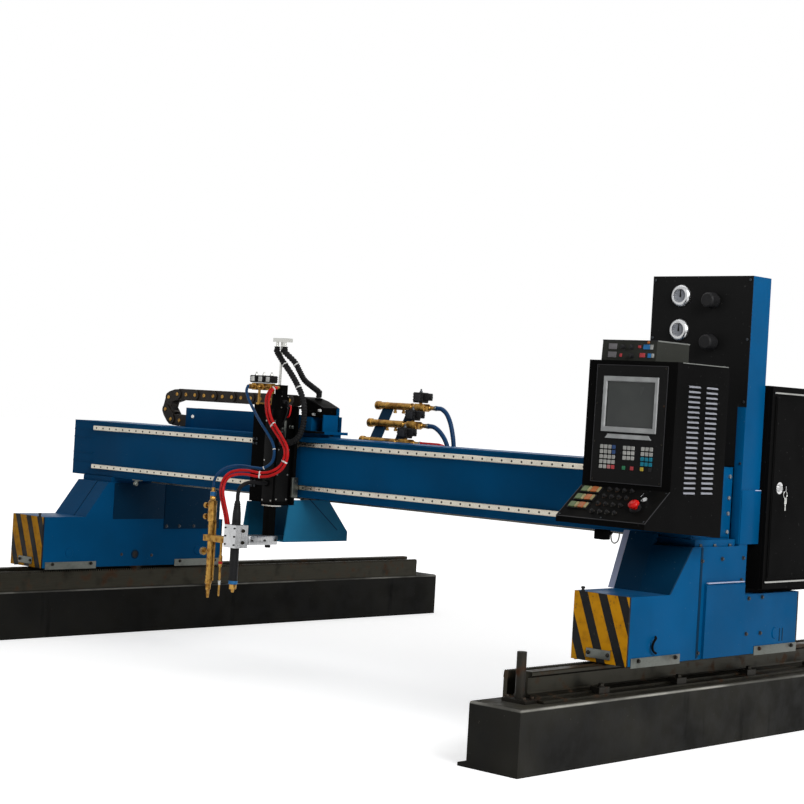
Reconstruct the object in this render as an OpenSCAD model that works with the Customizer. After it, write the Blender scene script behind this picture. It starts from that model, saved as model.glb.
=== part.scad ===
// Gantry plasma and oxy-fuel cutting machine on two rail beds.
// X runs along the beam, Y along the rails (front is -Y), Z is up and 0 is the floor.

/* [Beds] */
// Distance between the middles of the two rails
gauge = 4000; // [3400:50:5000]
// Length of each bed
bed_len = 4000; // [3800:100:6000]
// Length of bed in front of the rail
bed_nose = 190; // [120:5:300]
// Width of each bed
bed_w = 260; // [250:2:300]
// Height of each bed
bed_h = 266; // [220:2:320]
// Plate thickness of the bed
bed_wall = 10; // [8:1:14]
// Radius of the bed's top edges
bed_round = 14; // [6:1:20]
// Width of the floor flange
foot_w = 45; // [35:1:60]
// Thickness of the floor flange
foot_t = 25; // [15:1:35]
// Diameter of the anchor holes
anchor_d = 18; // [12:1:24]
// Distance of the anchor holes from the bed's ends
anchor_inset = 250; // [100:10:500]

/* [Rails] */
// Length of each rail
rail_len = 3620; // [3500:10:3700]
// Width of the sole plate under the rail
sole_w = 180; // [176:1:190]
// Thickness of the sole plate
sole_t = 12; // [8:1:16]
// Height of the rail section
rail_h = 107; // [90:1:130]
// Width of the rail's base
rail_base_w = 92; // [84:1:96]
// Width of the rail's head
rail_head_w = 51; // [44:1:60]
// Thickness of the rail's web
rail_web = 11; // [9:1:16]
// Distance between rail clamps
clamp_pitch = 560; // [300:10:900]
// Tooth module of the bed racks
rack_module = 5; // [4:0.5:6]
// Width of the bed racks
rack_w = 24; // [18:1:26]
// Distance of the rack's middle from the rail's middle
rack_offset = 110; // [108:1:112]
// Drop of the rack's tips below the rail's top
rack_drop = 10; // [6:1:20]
// Height of the end stop posts above the bed
stop_h = 200; // [150:5:260]
// Diameter of the end stop posts
stop_d = 40; // [30:1:50]

/* [Trucks] */
// Width of each truck
truck_w = 285; // [282:1:300]
// Plate thickness of the trucks
truck_wall = 8; // [6:1:10]
// Distance of the trucks' front from the middle of the beds
truck_front = 1333; // [1250:5:1400]
// Length of each truck
truck_len = 1313; // [1290:5:1400]
// Gap between the rail's top and the truck's underside
truck_gap = 6; // [4:1:12]
// Height of the truck's front end
truck_low_h = 286; // [270:2:320]
// Height of the truck's rear end
truck_rear_h = 268; // [250:2:280]
// Rise of the pedestal above the front end
ped_h = 199; // [150:1:240]
// Start of the pedestal's front slope, from the truck's front
slope_start = 281; // [270:1:300]
// End of the pedestal's front slope, from the truck's front
slope_end = 435; // [400:1:450]
// Rear end of the pedestal, from the truck's front
ped_end = 858; // [850:1:900]
// Thickness of the bumper plates
bumper_t = 10; // [6:1:14]
// Diameter of the wheels on their treads
wheel_d = 180; // [160:2:190]
// Depth of the wheel flanges below the tread
wheel_flange = 12; // [8:1:16]
// Thickness of the wheel flanges
flange_t = 12; // [8:1:14]
// Gap between the rail's head and each flange
flange_gap = 3.5; // [2:0.5:6]
// Distance of the axles from the truck's ends
axle_inset = 180; // [150:5:200]
// Diameter of the axles
axle_d = 40; // [30:1:46]
// Number of teeth of the drive pinions
pinion_teeth = 24; // [22:1:26]
// Diameter of the drive motors
motor_d = 80; // [60:1:84]
// Diameter of the drive shafts
shaft_d = 25; // [18:1:30]
// Start of the drive cover, from the truck's front
cover_start = 534; // [500:1:560]
// Length of the drive cover
cover_len = 305; // [280:1:320]
// Height of the drive cover
cover_h = 326; // [280:1:340]
// Depth of the drive cover
cover_t = 14; // [8:1:20]

/* [Beam] */
// Depth of the beam
beam_d = 300; // [290:1:310]
// Height of the beam
beam_h = 316; // [300:1:340]
// Plate thickness of the beam
beam_wall = 10; // [6:1:14]
// Thickness of the pads under the beam
beam_pad = 29; // [26:1:36]
// Distance of the beam's front face behind the trucks' front
beam_set = 473; // [465:1:480]
// Reach of the beam's left end and of the console beyond the rails' middles
beam_over = 255; // [240:5:300]
// Distance of the beam's right end inside that reach
beam_short = 155; // [140:5:180]
// Width of the linear guides
guide_w = 26; // [20:1:30]
// Height of the linear guides off the beam
guide_h = 24; // [20:1:27]
// Drop of the upper guide below the beam's top
guide_drop = 40; // [30:1:50]
// Rise of the lower guide above the beam's underside
guide_rise = 52; // [45:1:60]
// Distance between the guides' screw holes
guide_pitch = 60; // [60:10:100]
// Distance of the guides from the beam's left end
guide_inset = 205; // [150:5:250]
// Tooth module of the beam's rack
beam_rack_module = 4; // [3:0.5:4]
// Height of the beam's rack
beam_rack_h = 28; // [24:1:28]
// Number of teeth of the carriage pinion
carriage_teeth = 20; // [18:1:22]

/* [Gas column] */
// Width of the column
col_w = 535; // [500:1:560]
// Depth of the column
col_d = 145; // [120:1:150]
// Height of the column
col_h = 1190; // [1000:5:1300]
// Sheet thickness of the column
col_wall = 4; // [3:0.5:6]
// Diameter of the pressure gauges
dial_d = 100; // [80:1:110]
// Diameter of the regulator knobs
reg_d = 74; // [50:1:80]

/* [Console] */
// Width of the console
con_w = 452; // [440:1:470]
// Depth of the console's top
con_d = 385; // [370:1:400]
// Height of the console's rear
con_h = 727; // [700:1:740]
// Height of the screen face
face_h = 534; // [520:1:550]
// Lean of the screen face, as a run in depth
face_run = 6; // [2:1:20]
// Depth of the desk
desk_run = 167; // [150:1:180]
// Drop of the desk to its front edge
desk_drop = 130; // [110:1:140]
// Height of the desk's front lip
lip_h = 25; // [15:1:30]
// Sheet thickness of the console
con_wall = 4; // [3:0.5:5]
// Thickness of the plate between console and beam
con_plate = 12; // [8:1:20]
// Width of the screen's window
lcd_w = 245; // [230:1:260]
// Height of the screen's window
lcd_h = 192; // [180:1:200]
// Number of louvres in each column
louvres = 22; // [12:1:24]
// Diameter of the emergency stop head
stop_head_d = 48; // [40:1:54]

/* [Cabinet] */
// Width of the cabinet along the rails
cab_w = 600; // [500:5:640]
// Depth of the cabinet without its door
cab_d = 330; // [280:5:340]
// Height of the cabinet
cab_h = 914; // [800:2:1000]
// Sheet thickness of the cabinet
cab_wall = 4; // [3:0.5:6]
// Thickness of the door leaf
door_t = 20; // [14:1:30]
// Diameter of the door's hinge pins
door_pin_d = 10; // [8:1:14]

/* [Carriage] */
// Place of the carriage's middle along the beam
carriage_x = -488; // [-520:1:-460]
// Width of the carriage plate
plate_w = 323; // [310:1:340]
// Height of the carriage plate
plate_h = 510; // [490:1:520]
// Thickness of the carriage plate
plate_t = 20; // [16:1:24]
// Gap between the beam and the carriage plate
block_h = 36; // [32:1:40]
// Depth of the drive bracket under the beam
bracket_d = 408; // [395:1:420]
// Height of the drive bracket's rear lip
bracket_lip = 50; // [25:1:60]
// Reach of the drive bracket in front of the beam side of the plate
bracket_nose = 60; // [40:1:62]
// Height of the drive bracket
bracket_h = 218; // [200:1:230]
// Sheet thickness of the drive bracket
bracket_t = 6; // [4:1:8]
// Side of the square lifting slide
slide_w = 46; // [36:1:50]
// Reach of the torches in front of the lifting slide
torch_reach = 205; // [180:1:230]
// Distance between the two torches
torch_gap = 188; // [170:1:210]
// Diameter of the plasma torch
torch_d = 46; // [40:1:50]
// Height of the plasma nozzle's tip above the floor
torch_tip = 412; // [405:1:440]
// Diameter of the oxy-fuel torch tube
oxy_d = 32; // [26:1:36]
// Height of the mast above the carriage plate
mast_h = 352; // [320:2:380]

/* [Chain and hoses] */
// Pitch of the cable chain's links
chain_pitch = 55; // [52:1:58]
// Height of the links
chain_h = 60; // [56:1:64]
// Width of the chain
chain_w = 70; // [60:1:72]
// Bending radius of the chain
chain_r = 75; // [73:1:80]
// Left end of the chain's tray, from the middle of the beam
tray_left = 1430; // [1300:10:1500]
// Right end of the chain's tray, from the middle of the beam
tray_right = 340; // [300:10:400]
// Height of the chain's tray
tray_h = 110; // [90:1:120]
// Diameter of the gas hoses
hose_d = 15; // [10:1:16]
// Diameter of the ribbed conduits over their ribs
conduit_d = 32; // [28:1:34]

/* [Hidden] */
$fn = 48;
run_gap = 0.05;
seat_gap = 0.3;
eps = 0.01;
rail_x = gauge / 2;
bed_front = -rail_len / 2 - bed_nose;
bed_back = bed_front + bed_len;
rail_z = bed_h + sole_t;
rail_top = rail_z + rail_h;
truck_z = rail_top + truck_gap;
low_z = truck_z + truck_low_h;
rear_z = truck_z + truck_rear_h;
ped_z = low_z + ped_h;
front_y = -truck_front;
rear_y = front_y + truck_len;
slope_y = front_y + slope_start;
crest_y = front_y + slope_end;
ped_y = front_y + ped_end;
axle_z = rail_top + wheel_d / 2;
axle_y = [front_y + axle_inset, rear_y - axle_inset];
rack_tip_z = rail_top - rack_drop;
pinion_r = rack_module * pinion_teeth / 2;
pinion_z = rack_tip_z - rack_module + pinion_r;
pinion_y = front_y + cover_start + cover_len / 2;
pinion_x = rail_x - rack_offset;
web_plate_t = 10;
web_x = pinion_x + rack_w / 2 + 6;
beam_y = front_y + beam_set;
beam_back = beam_y + beam_d;
beam_z = ped_z + beam_pad;
beam_top = beam_z + beam_h;
beam_left = -rail_x - beam_over;
beam_right = rail_x + beam_over - beam_short;
guide_z = [beam_z + guide_rise, beam_top - guide_drop];
con_x1 = rail_x + beam_over;
con_x0 = con_x1 - con_w;
guide_x0 = beam_left + guide_inset;
guide_x1 = con_x0 - 90;
col_y = beam_back + 15;
col_x1 = rail_x + truck_w / 2;
col_x0 = col_x1 - col_w;
col_base = 7;
col_z = ped_z + col_base;
col_top = col_z + col_h;
panel_t = 3;
panel_y = col_y - panel_t;
dial_x = col_x0 + 162;
dial_z = [col_top - 245, col_top - 90];
dial_t = 22;
reg_x = col_x1 - 198;
reg_z = [col_top - 300, col_top - 112];
con_back = beam_y - con_plate;
con_z = beam_z + 20;
con_top = con_z + con_h;
con_front = con_back - con_d;
desk_z = con_top - face_h;
tip_y = con_front - face_run - desk_run;
tip_z = desk_z - desk_drop;
face_tilt = atan2(face_run, face_h);
desk_tilt = atan2(desk_run, desk_drop);
fascia_t = 3;
fascia_margin = 44;
fascia_rise = 18;
fascia_w = con_w - 2 * fascia_margin;
fascia_h = face_h - 2 * fascia_rise;
lcd_rise = fascia_h - lcd_h - 70;
lcd_lap = 4;
cab_y0 = col_y + col_d + 10;
cab_y1 = cab_y0 + cab_w;
cab_x1 = rail_x + truck_w / 2 + 18;
cab_x0 = cab_x1 - cab_d;
cab_foot = 21;
cab_z = rear_z + cab_foot;
cab_top = cab_z + cab_h;
door_gap = 3;
hinge_x = cab_x1 + door_t / 2 + 1;
hinge_y = cab_y1 + door_pin_d / 2 + 3;
lock_y = cab_y0 + 93;
lock_z = cab_z + cab_h / 2;
plate_y1 = beam_y - block_h;
plate_y0 = plate_y1 - plate_t;
plate_x0 = carriage_x - plate_w / 2;
plate_x1 = carriage_x + plate_w / 2;
plate_z0 = beam_z - 40;
plate_z1 = plate_z0 + plate_h;
bracket_slope = 153;
bracket_y1 = plate_y1 + bracket_d;
bracket_y0 = plate_y1 - bracket_nose;
bracket_z1 = beam_z - 15;
bracket_z0 = bracket_z1 - bracket_h;
bracket_top_y = bracket_y1 - bracket_slope;
beam_rack_y0 = beam_back - 40;
carriage_r = beam_rack_module * carriage_teeth / 2;
carriage_pinion_y = beam_rack_y0 - carriage_r + beam_rack_module;
deck_z = beam_top + 22;
deck_t = 10;
deck_y1 = beam_back - 110;
junction_x = plate_x1 - 40;
junction_w = 170;
junction_h = [177, 119];
slide_x = plate_x1 - 70;
slide_y = plate_y0 - 84;
lifter_w = 92;
lifter_d = 108;
lifter_z0 = beam_z - 45;
lifter_z1 = plate_z1 - 60;
slide_z0 = torch_tip + 291;
arm_h = 46;
arm_z = slide_z0;
torch_side = 24;
torch_x = slide_x - torch_side;
torch_y = slide_y - torch_reach;
oxy_x = torch_x - torch_gap;
bar_drop = 14;
bar_z1 = arm_z - bar_drop;
oxy_rise = 245;
oxy_len = 570;
oxy_top = bar_z1 + oxy_rise;
oxy_tip = oxy_top - oxy_len;
valve_drop = [154, 96];
valve_z = [for (d = valve_drop) oxy_top - d];
tray_y0 = beam_back - 95;
tray_y1 = beam_back - 5;
tray_t = 3;
arm_len = 60;
chain_y = (tray_y0 + tray_y1) / 2;
chain_low = beam_top + tray_t + seat_gap + chain_h / 2;
chain_high = chain_low + 2 * chain_r;
chain_arm_z = chain_high - chain_h / 2 - seat_gap;
chain_fixed = -tray_right - 60;
loop_x = -1625;
chain_end = plate_x0 + arm_len / 2;
low_run = chain_fixed - loop_x;
bend_run = PI * chain_r;
chain_total = low_run + bend_run + chain_end - loop_x;
link_count = floor(chain_total / chain_pitch);
link_t = 6;
pin_d = 10;

// Shared shapes

// Box between two corners
module block(lo, hi) translate(lo) cube(hi - lo);

// Rods along the three axes
module rod_x(d, x0, x1, y, z) translate([x0, y, z]) rotate([0, 90, 0]) cylinder(d = d, h = x1 - x0);
module rod_y(d, y0, y1, x, z) translate([x, y1, z]) rotate([90, 0, 0]) cylinder(d = d, h = y1 - y0);
module rod_z(d, z0, z1, x, y) translate([x, y, z0]) cylinder(d = d, h = z1 - z0);

// Outline in Y and Z drawn out along X, and outline in X and Z drawn out along Y
module along_x(x0, x1) translate([x0, 0, 0]) rotate([90, 0, 90]) linear_extrude(x1 - x0) children();
module along_y(y0, y1) translate([0, y1, 0]) rotate([90, 0, 0]) linear_extrude(y1 - y0) children();

// The same shape on the right and on the left
module both_sides() {
    children();
    mirror([1, 0, 0]) children();
}

// Outline of a rack with one tooth gap centred on 0 and its tips at height 0
function rack_points(m, first, last, depth) =
    let (p = PI * m, a = m * tan(20), b = 1.25 * m * tan(20), play = 0.15)
    concat([[last * p, -depth], [first * p, -depth]],
           [for (i = [first : last - 1]) let (c = (i + 0.5) * p)
               each [[c - p / 4 - b + play, -2.25 * m], [c - p / 4 + a + play, 0],
                     [c + p / 4 - a - play, 0], [c + p / 4 + b - play, -2.25 * m]]]);

// Outline of an involute gear with one tooth pointing at -90 degrees
function involute(a) = tan(a) * 180 / PI - a;
function gear_half(m, z, r) =
    let (pitch_r = m * z / 2, base = pitch_r * cos(20))
    90 / z - 0.2 / pitch_r * 180 / PI + involute(20) - (r > base ? involute(acos(base / r)) : 0);
function gear_points(m, z) =
    let (tip = m * z / 2 + m, root = m * z / 2 - 1.3 * m, steps = 4,
         base = m * z / 2 * cos(20) + eps,
         radii = concat([root], [for (k = [0 : steps]) base + (tip - base) * k / steps]))
    [for (i = [0 : z - 1]) let (c = -90 + i * 360 / z)
        each concat([for (k = [0 : len(radii) - 1])
                        let (t = c - gear_half(m, z, radii[k])) radii[k] * [cos(t), sin(t)]],
                    [for (k = [len(radii) - 1 : -1 : 0])
                        let (t = c + gear_half(m, z, radii[k])) radii[k] * [cos(t), sin(t)]])];

// Smooth curve through hand-set points
function curve_at(p, i, t) =
    let (n = len(p) - 1, a = p[max(i - 1, 0)], b = p[i], c = p[i + 1], d = p[min(i + 2, n)])
    0.5 * (2 * b + (c - a) * t + (2 * a - 5 * b + 4 * c - d) * t * t
           + (3 * b - a - 3 * c + d) * t * t * t);
function curve(p, steps) =
    concat([for (i = [0 : len(p) - 2]) for (k = [0 : steps - 1]) curve_at(p, i, k / steps)],
           [p[len(p) - 1]]);
function unit(v) = v / norm(v);
function heading(p, i) = unit(p[min(i + 1, len(p) - 1)] - p[max(i - 1, 0)]);
function ring(p, i, r, sides) =
    let (t = heading(p, i), u = unit(cross(t, [0.31, 0.9, 0.3])), v = cross(t, u))
    [for (k = [0 : sides - 1]) p[i] + r * (cos(360 * k / sides) * u + sin(360 * k / sides) * v)];
function skin(first, rows, sides) =
    [for (i = [0 : rows - 2]) for (k = [0 : sides - 1])
        let (a = first + i * sides + k, b = first + i * sides + (k + 1) % sides)
        each [[a, a + sides, b], [b, a + sides, b + sides]]];
function flip(faces) = [for (f = faces) [f[2], f[1], f[0]]];

// Round hose along a curve
module hose(points, d, steps) {
    path = curve(points, steps);
    sides = 8;
    rows = len(path);
    ends = concat([for (k = [1 : sides - 2]) [0, k, k + 1]],
                  [for (k = [1 : sides - 2]) (rows - 1) * sides * [1, 1, 1] + [0, k + 1, k]]);
    polyhedron([for (i = [0 : rows - 1]) each ring(path, i, d / 2, sides)],
               concat(skin(0, rows, sides), ends));
}

// Ribbed conduit with a bore along a curve, two rings a rib
module ribbed(points, d, bore, steps) {
    path = curve(points, steps);
    sides = 8;
    rows = len(path);
    wall = [for (i = [0 : rows - 1]) each ring(path, i, i % 2 == 0 ? d / 2 - 2.5 : d / 2, sides)];
    core = [for (i = [0 : rows - 1]) each ring(path, i, bore / 2, sides)];
    n = rows * sides;
    rim = [for (k = [0 : sides - 1]) let (b = (k + 1) % sides)
              each [[k, b, n + k], [b, n + b, n + k]]];
    far = [for (f = rim) (rows - 1) * sides * [1, 1, 1] + [f[2], f[1], f[0]]];
    polyhedron(concat(wall, core), concat(skin(0, rows, sides), flip(skin(n, rows, sides)), rim, far));
}

// Beds and rails

module bed_outline() {
    translate([-bed_w / 2, 0]) square([bed_w, bed_h - bed_round]);
    translate([-bed_w / 2 + bed_round, 0]) square([bed_w - 2 * bed_round, bed_h]);
    for (s = [-1, 1]) translate([s * (bed_w / 2 - bed_round), bed_h - bed_round]) circle(r = bed_round);
}

// Welded bed with closed ends and a floor flange on its left side
module bed() {
    inner_w = bed_w - 2 * bed_wall;
    translate([rail_x, 0, 0]) difference() {
        union() {
            along_y(bed_front, bed_back) bed_outline();
            along_y(bed_front, bed_back)
                polygon([[-bed_w / 2 + eps, 0], [-bed_w / 2 - foot_w, 0], [-bed_w / 2 - foot_w, foot_t * 0.6],
                         [-bed_w / 2 + eps, foot_t]]);
        }
        along_y(bed_front + bed_wall, bed_back - bed_wall)
            translate([-inner_w / 2, bed_wall]) square([inner_w, bed_h - 2 * bed_wall]);
        for (y = [bed_front + anchor_inset, bed_back - anchor_inset])
            rod_z(anchor_d, -1, foot_t + 1, -bed_w / 2 - foot_w / 2, y);
    }
}

module bed_right() color([0.09, 0.09, 0.08]) bed();
module bed_left() color([0.09, 0.09, 0.08]) translate([-gauge, 0, 0]) bed();

base_edge = 10;
base_flat = 15;
base_rise = 8;
head_side = 16;
head_rise = 7;

// Crane rail section: flat base, thin web and wide head
module rail_outline() {
    half = [[rail_base_w / 2, 0], [rail_base_w / 2, base_edge], [rail_base_w / 2 - base_flat, base_edge],
            [rail_web / 2 + 4, base_edge + base_rise], [rail_web / 2, base_edge + base_rise + 6],
            [rail_web / 2, rail_h - head_side - head_rise - 4],
            [rail_head_w / 2, rail_h - head_side], [rail_head_w / 2, rail_h - 4],
            [rail_head_w / 2 - 4, rail_h]];
    polygon(concat(half, [for (i = [len(half) - 1 : -1 : 0]) [-half[i][0], half[i][1]]]));
}

module rails() color([0.36, 0.35, 0.32]) both_sides() {
    translate([rail_x, 0, rail_z]) along_y(-rail_len / 2, rail_len / 2) rail_outline();
    block([rail_x - sole_w / 2, -rail_len / 2, bed_h], [rail_x + sole_w / 2, rail_len / 2, rail_z]);
}

clamp_w = 70;
clamp_l = 36;
clamp_t = 26;

// Bolted clamps that hold the rail's base down, in pairs along each rail
module rail_clamps() color([0.22, 0.2, 0.17]) both_sides() {
    rows = floor((rail_len - 300) / clamp_pitch);
    for (i = [0 : rows]) for (s = [-1, 1])
        translate([rail_x, (i - rows / 2) * clamp_pitch, rail_z]) mirror([s < 0 ? 1 : 0, 0, 0]) {
            difference() {
                block([rail_base_w / 2 - base_flat + 3, -clamp_w / 2, 0],
                      [rail_base_w / 2 + clamp_l, clamp_w / 2, clamp_t]);
                block([0, -clamp_w, -1], [rail_base_w / 2 + seat_gap, clamp_w, base_edge]);
            }
            translate([rail_base_w / 2 + clamp_l / 2, 0, clamp_t]) cylinder(d = 26, h = 14, $fn = 6);
        }
}

rack_h = 30;

// Toothed racks on carrier bars along the inner side of the rails
module bed_racks() color([0.3, 0.29, 0.27]) both_sides() {
    pitch = PI * rack_module;
    first = -floor((pinion_y + rail_len / 2) / pitch);
    last = floor((rail_len / 2 - pinion_y) / pitch);
    translate([0, pinion_y, rack_tip_z]) along_x(pinion_x - rack_w / 2, pinion_x + rack_w / 2)
        polygon(rack_points(rack_module, first, last, rack_h));
    block([pinion_x - 10, pinion_y + first * pitch, bed_h],
          [pinion_x + 10, pinion_y + last * pitch, rack_tip_z - rack_h]);
}

stop_base = 14;

// Posts at the front ends of the rails that stop the trucks
module end_stops() color([0.2, 0.18, 0.15]) both_sides() {
    y = -rail_len / 2 - 40;
    block([rail_x - 60, y - 38, bed_h], [rail_x + 60, y + 38, bed_h + stop_base]);
    rod_z(stop_d, bed_h + stop_base, bed_h + stop_h, rail_x, y);
}

// Trucks

function truck_points(t) =
    [[front_y + t, truck_z - (t > 0 ? 1 : 0)], [front_y + t, low_z - t], [slope_y + t * 0.4, low_z - t],
     [crest_y + t * 0.4, ped_z - t], [ped_y - t, ped_z - t], [ped_y - t, rear_z - t],
     [rear_y - t, rear_z - t], [rear_y - t, truck_z - (t > 0 ? 1 : 0)]];

// Welded truck, open below, with axle bores and a plate that carries the drive motor
module truck() {
    x0 = rail_x - truck_w / 2;
    x1 = rail_x + truck_w / 2;
    difference() {
        union() {
            difference() {
                along_x(x0, x1) polygon(truck_points(0));
                along_x(x0 + truck_wall, x1 - truck_wall) polygon(truck_points(truck_wall));
            }
            block([web_x, pinion_y - 70, pinion_z - motor_d / 2],
                  [web_x + web_plate_t, pinion_y + 70, ped_z - truck_wall / 2]);
        }
        for (y = axle_y) rod_x(axle_d + 2 * run_gap, x0 - 1, x1 + 1, y, axle_z);
        rod_x(shaft_d + 2, web_x - 1, web_x + web_plate_t + 1, pinion_y, pinion_z);
    }
}

module truck_right() color([0.0, 0.33, 0.56]) truck();
module truck_left() color([0.0, 0.33, 0.56]) mirror([1, 0, 0]) truck();

// Bumper plates on the front and rear ends
module bumpers() color([0.85, 0.6, 0.05]) both_sides() {
    x0 = rail_x - truck_w / 2;
    x1 = rail_x + truck_w / 2;
    block([x0, front_y - bumper_t, truck_z], [x1, front_y, low_z]);
    block([x0, rear_y, truck_z], [x1, rear_y + bumper_t, rear_z]);
}

scraper_w = 64;
scraper_h = 22;
wiper_l = 190;
wiper_h = 28;
wiper_t = 4;

// Galvanised scrapers on the bumpers and wiper plates along the trucks' lower edges
module scraper_plates() color([0.62, 0.62, 0.6]) both_sides() {
    for (s = [0, 1]) {
        y = s == 0 ? front_y - bumper_t - wiper_t : rear_y + bumper_t;
        block([rail_x - scraper_w / 2, y, rail_top + 2],
              [rail_x + scraper_w / 2, y + wiper_t, rail_top + 2 + scraper_h * 2]);
    }
    for (side = [-1, 1]) for (y = [front_y + 12, rear_y - 12 - wiper_l]) {
        x = rail_x + side * (truck_w / 2 + wiper_t / 2);
        block([x - wiper_t / 2, y, truck_z - 8], [x + wiper_t / 2, y + wiper_l, truck_z - 8 + wiper_h]);
    }
}

// Raised covers over the drive on the outer plates
module side_covers() color([0.0, 0.35, 0.6]) both_sides() {
    x = rail_x + truck_w / 2;
    y = front_y + cover_start;
    along_y(y, y + cover_len)
        polygon([[x, truck_z + 3], [x + cover_t, truck_z + 3], [x + cover_t, truck_z + 3 + cover_h - cover_t],
                 [x, truck_z + 3 + cover_h]]);
}

motor_x1 = rail_x + truck_w / 2 - truck_wall - 4;
shaft_in = 40;

// Drive motors flanged to the trucks' inner plates
module drive_motors() color([0.1, 0.1, 0.11]) both_sides() {
    x = web_x + web_plate_t;
    difference() {
        union() {
            rod_x(motor_d, x, x + 60, pinion_y, pinion_z);
            rod_x(motor_d - 8, x + 60, motor_x1, pinion_y, pinion_z);
        }
        rod_x(shaft_d + 2 * run_gap, x - 1, x + shaft_in + 1, pinion_y, pinion_z);
    }
}

// Pinion and shaft of each drive, in mesh with the bed racks
module drive_pinions() color([0.45, 0.44, 0.42]) both_sides() {
    translate([0, pinion_y, pinion_z]) along_x(pinion_x - rack_w / 2, pinion_x + rack_w / 2)
        polygon(gear_points(rack_module, pinion_teeth));
    rod_x(shaft_d, pinion_x, web_x + web_plate_t + shaft_in, pinion_y, pinion_z);
}

// Double-flanged wheel turned in one piece with its axle
module wheel() {
    tread = rail_head_w / 2 + flange_gap;
    r = wheel_d / 2;
    far = tread + flange_t;
    end = truck_w / 2;
    hub = 62;
    rotate([0, 90, 0]) rotate_extrude()
        polygon([[0, -end], [axle_d / 2, -end], [axle_d / 2, -hub], [axle_d / 2 + 14, -hub],
                 [axle_d / 2 + 14, -far], [r + wheel_flange - 4, -far], [r + wheel_flange, -tread - 5],
                 [r, -tread], [r, tread], [r + wheel_flange, tread + 5], [r + wheel_flange - 4, far],
                 [axle_d / 2 + 14, far], [axle_d / 2 + 14, hub], [axle_d / 2, hub], [axle_d / 2, end],
                 [0, end]]);
}

module front_wheels() color([0.4, 0.39, 0.37]) both_sides() translate([rail_x, axle_y[0], axle_z]) wheel();
module rear_wheels() color([0.4, 0.39, 0.37]) both_sides() translate([rail_x, axle_y[1], axle_z]) wheel();

// Beam

pad_over = 12;
ridge_t = 3;

// Welded box beam with end plates, pads on the pedestals and short ridges at its left end
module beam() color([0.0, 0.22, 0.42]) {
    difference() {
        block([beam_left, beam_y, beam_z], [beam_right, beam_back, beam_top]);
        block([beam_left + beam_wall, beam_y + beam_wall, beam_z + beam_wall],
              [beam_right - beam_wall, beam_back - beam_wall, beam_top - beam_wall]);
    }
    for (s = [-1, 1]) {
        x = s * rail_x;
        block([x - truck_w / 2 + pad_over, beam_y - pad_over, ped_z],
              [x + truck_w / 2 - pad_over, beam_back, beam_z + eps]);
    }
    for (z = [beam_top - 55, beam_top - 100, beam_top - 190, beam_z + 75])
        block([beam_left, beam_y - ridge_t, z], [beam_left + guide_inset - 20, beam_y + eps, z + 5]);
}

// Linear guides with countersunk screw holes along the beam's front face
module guide_rails() color([0.75, 0.73, 0.68]) for (z = guide_z) difference() {
    along_x(guide_x0, guide_x1) translate([beam_y - guide_h, z - guide_w / 2])
        polygon([[0, 3], [3, 0], [guide_h * 0.4, 0], [guide_h * 0.55, 3], [guide_h, 3],
                 [guide_h, guide_w - 3],
                 [guide_h * 0.55, guide_w - 3], [guide_h * 0.4, guide_w], [3, guide_w], [0, guide_w - 3]]);
    for (x = [guide_x0 + guide_pitch / 2 : guide_pitch : guide_x1 - 5])
        rod_y(11, beam_y - guide_h - 1, beam_y - guide_h + 9, x, z);
}

// Rack under the beam, with its teeth towards the front
module beam_rack() color([0.5, 0.49, 0.46]) {
    pitch = PI * beam_rack_module;
    first = -floor((carriage_x + rail_x - truck_w / 2 - 10) / pitch);
    last = floor((guide_x1 - carriage_x) / pitch);
    translate([carriage_x, beam_rack_y0, beam_z - beam_rack_h]) mirror([0, 1, 0])
        linear_extrude(beam_rack_h) polygon(rack_points(beam_rack_module, first, last, 28));
}

// Open tray for the cable chain along the beam's top
module chain_tray() color([0.0, 0.3, 0.52]) difference() {
    block([-tray_left, tray_y0, beam_top], [-tray_right, tray_y1, beam_top + tray_h]);
    block([-tray_left - 1, tray_y0 + tray_t, beam_top + tray_t],
          [-tray_right + 1, tray_y1 - tray_t, beam_top + tray_h + 1]);
}

// Place on the chain's middle line: along the tray, round the bend and back over it
function chain_place(s) =
    s < low_run ? [chain_fixed - s, chain_low, 180]
    : s < low_run + bend_run ? let (a = (s - low_run) / chain_r * 180 / PI)
        [loop_x - chain_r * sin(a), chain_low + chain_r * (1 - cos(a)), 180 - a]
    : [loop_x + s - low_run - bend_run, chain_high, 0];

// Side plate of a link between its two pins, with round ends just inside the next plate of its row
module link_plate(length, hole) difference() {
    r = chain_pitch / 2 - 1.5;
    waist = length / 4;
    union() {
        polygon([[0, -r], [waist, -chain_h / 2], [length - waist, -chain_h / 2], [length, -r],
                 [length, r], [length - waist, chain_h / 2], [waist, chain_h / 2], [0, r]]);
        circle(r = r);
        translate([length, 0]) circle(r = r);
    }
    circle(d = hole);
    translate([length, 0]) circle(d = hole);
}

// One link: two side plates and two cross bars, wide links carrying the pins
module chain_link(a, b, wide) {
    length = norm([b[0] - a[0], b[1] - a[1]]);
    turn = atan2(b[1] - a[1], b[0] - a[0]);
    outer = wide ? chain_w / 2 : chain_w / 2 - link_t - 0.5;
    translate([a[0], chain_y, a[1]]) rotate([0, -turn, 0]) {
        for (s = [-1, 1]) translate([0, s * (outer - link_t / 2) + link_t / 2, 0]) rotate([90, 0, 0])
            linear_extrude(link_t) link_plate(length, wide ? pin_d - eps : pin_d + 0.6);
        for (z = [-1, 1]) block([length / 2 - 7, -outer + eps, z * (chain_h / 2 - 3) - 3],
                                [length / 2 + 7, outer - eps, z * (chain_h / 2 - 3) + 3]);
        if (wide) for (x = [0, length]) for (s = [-1, 1])
            translate([x, s > 0 ? chain_w / 2 + 3 : -chain_w / 2 + 2 * link_t + 0.5, 0]) rotate([90, 0, 0])
                cylinder(d = pin_d, h = 2 * link_t + 3.5);
    }
}

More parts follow.
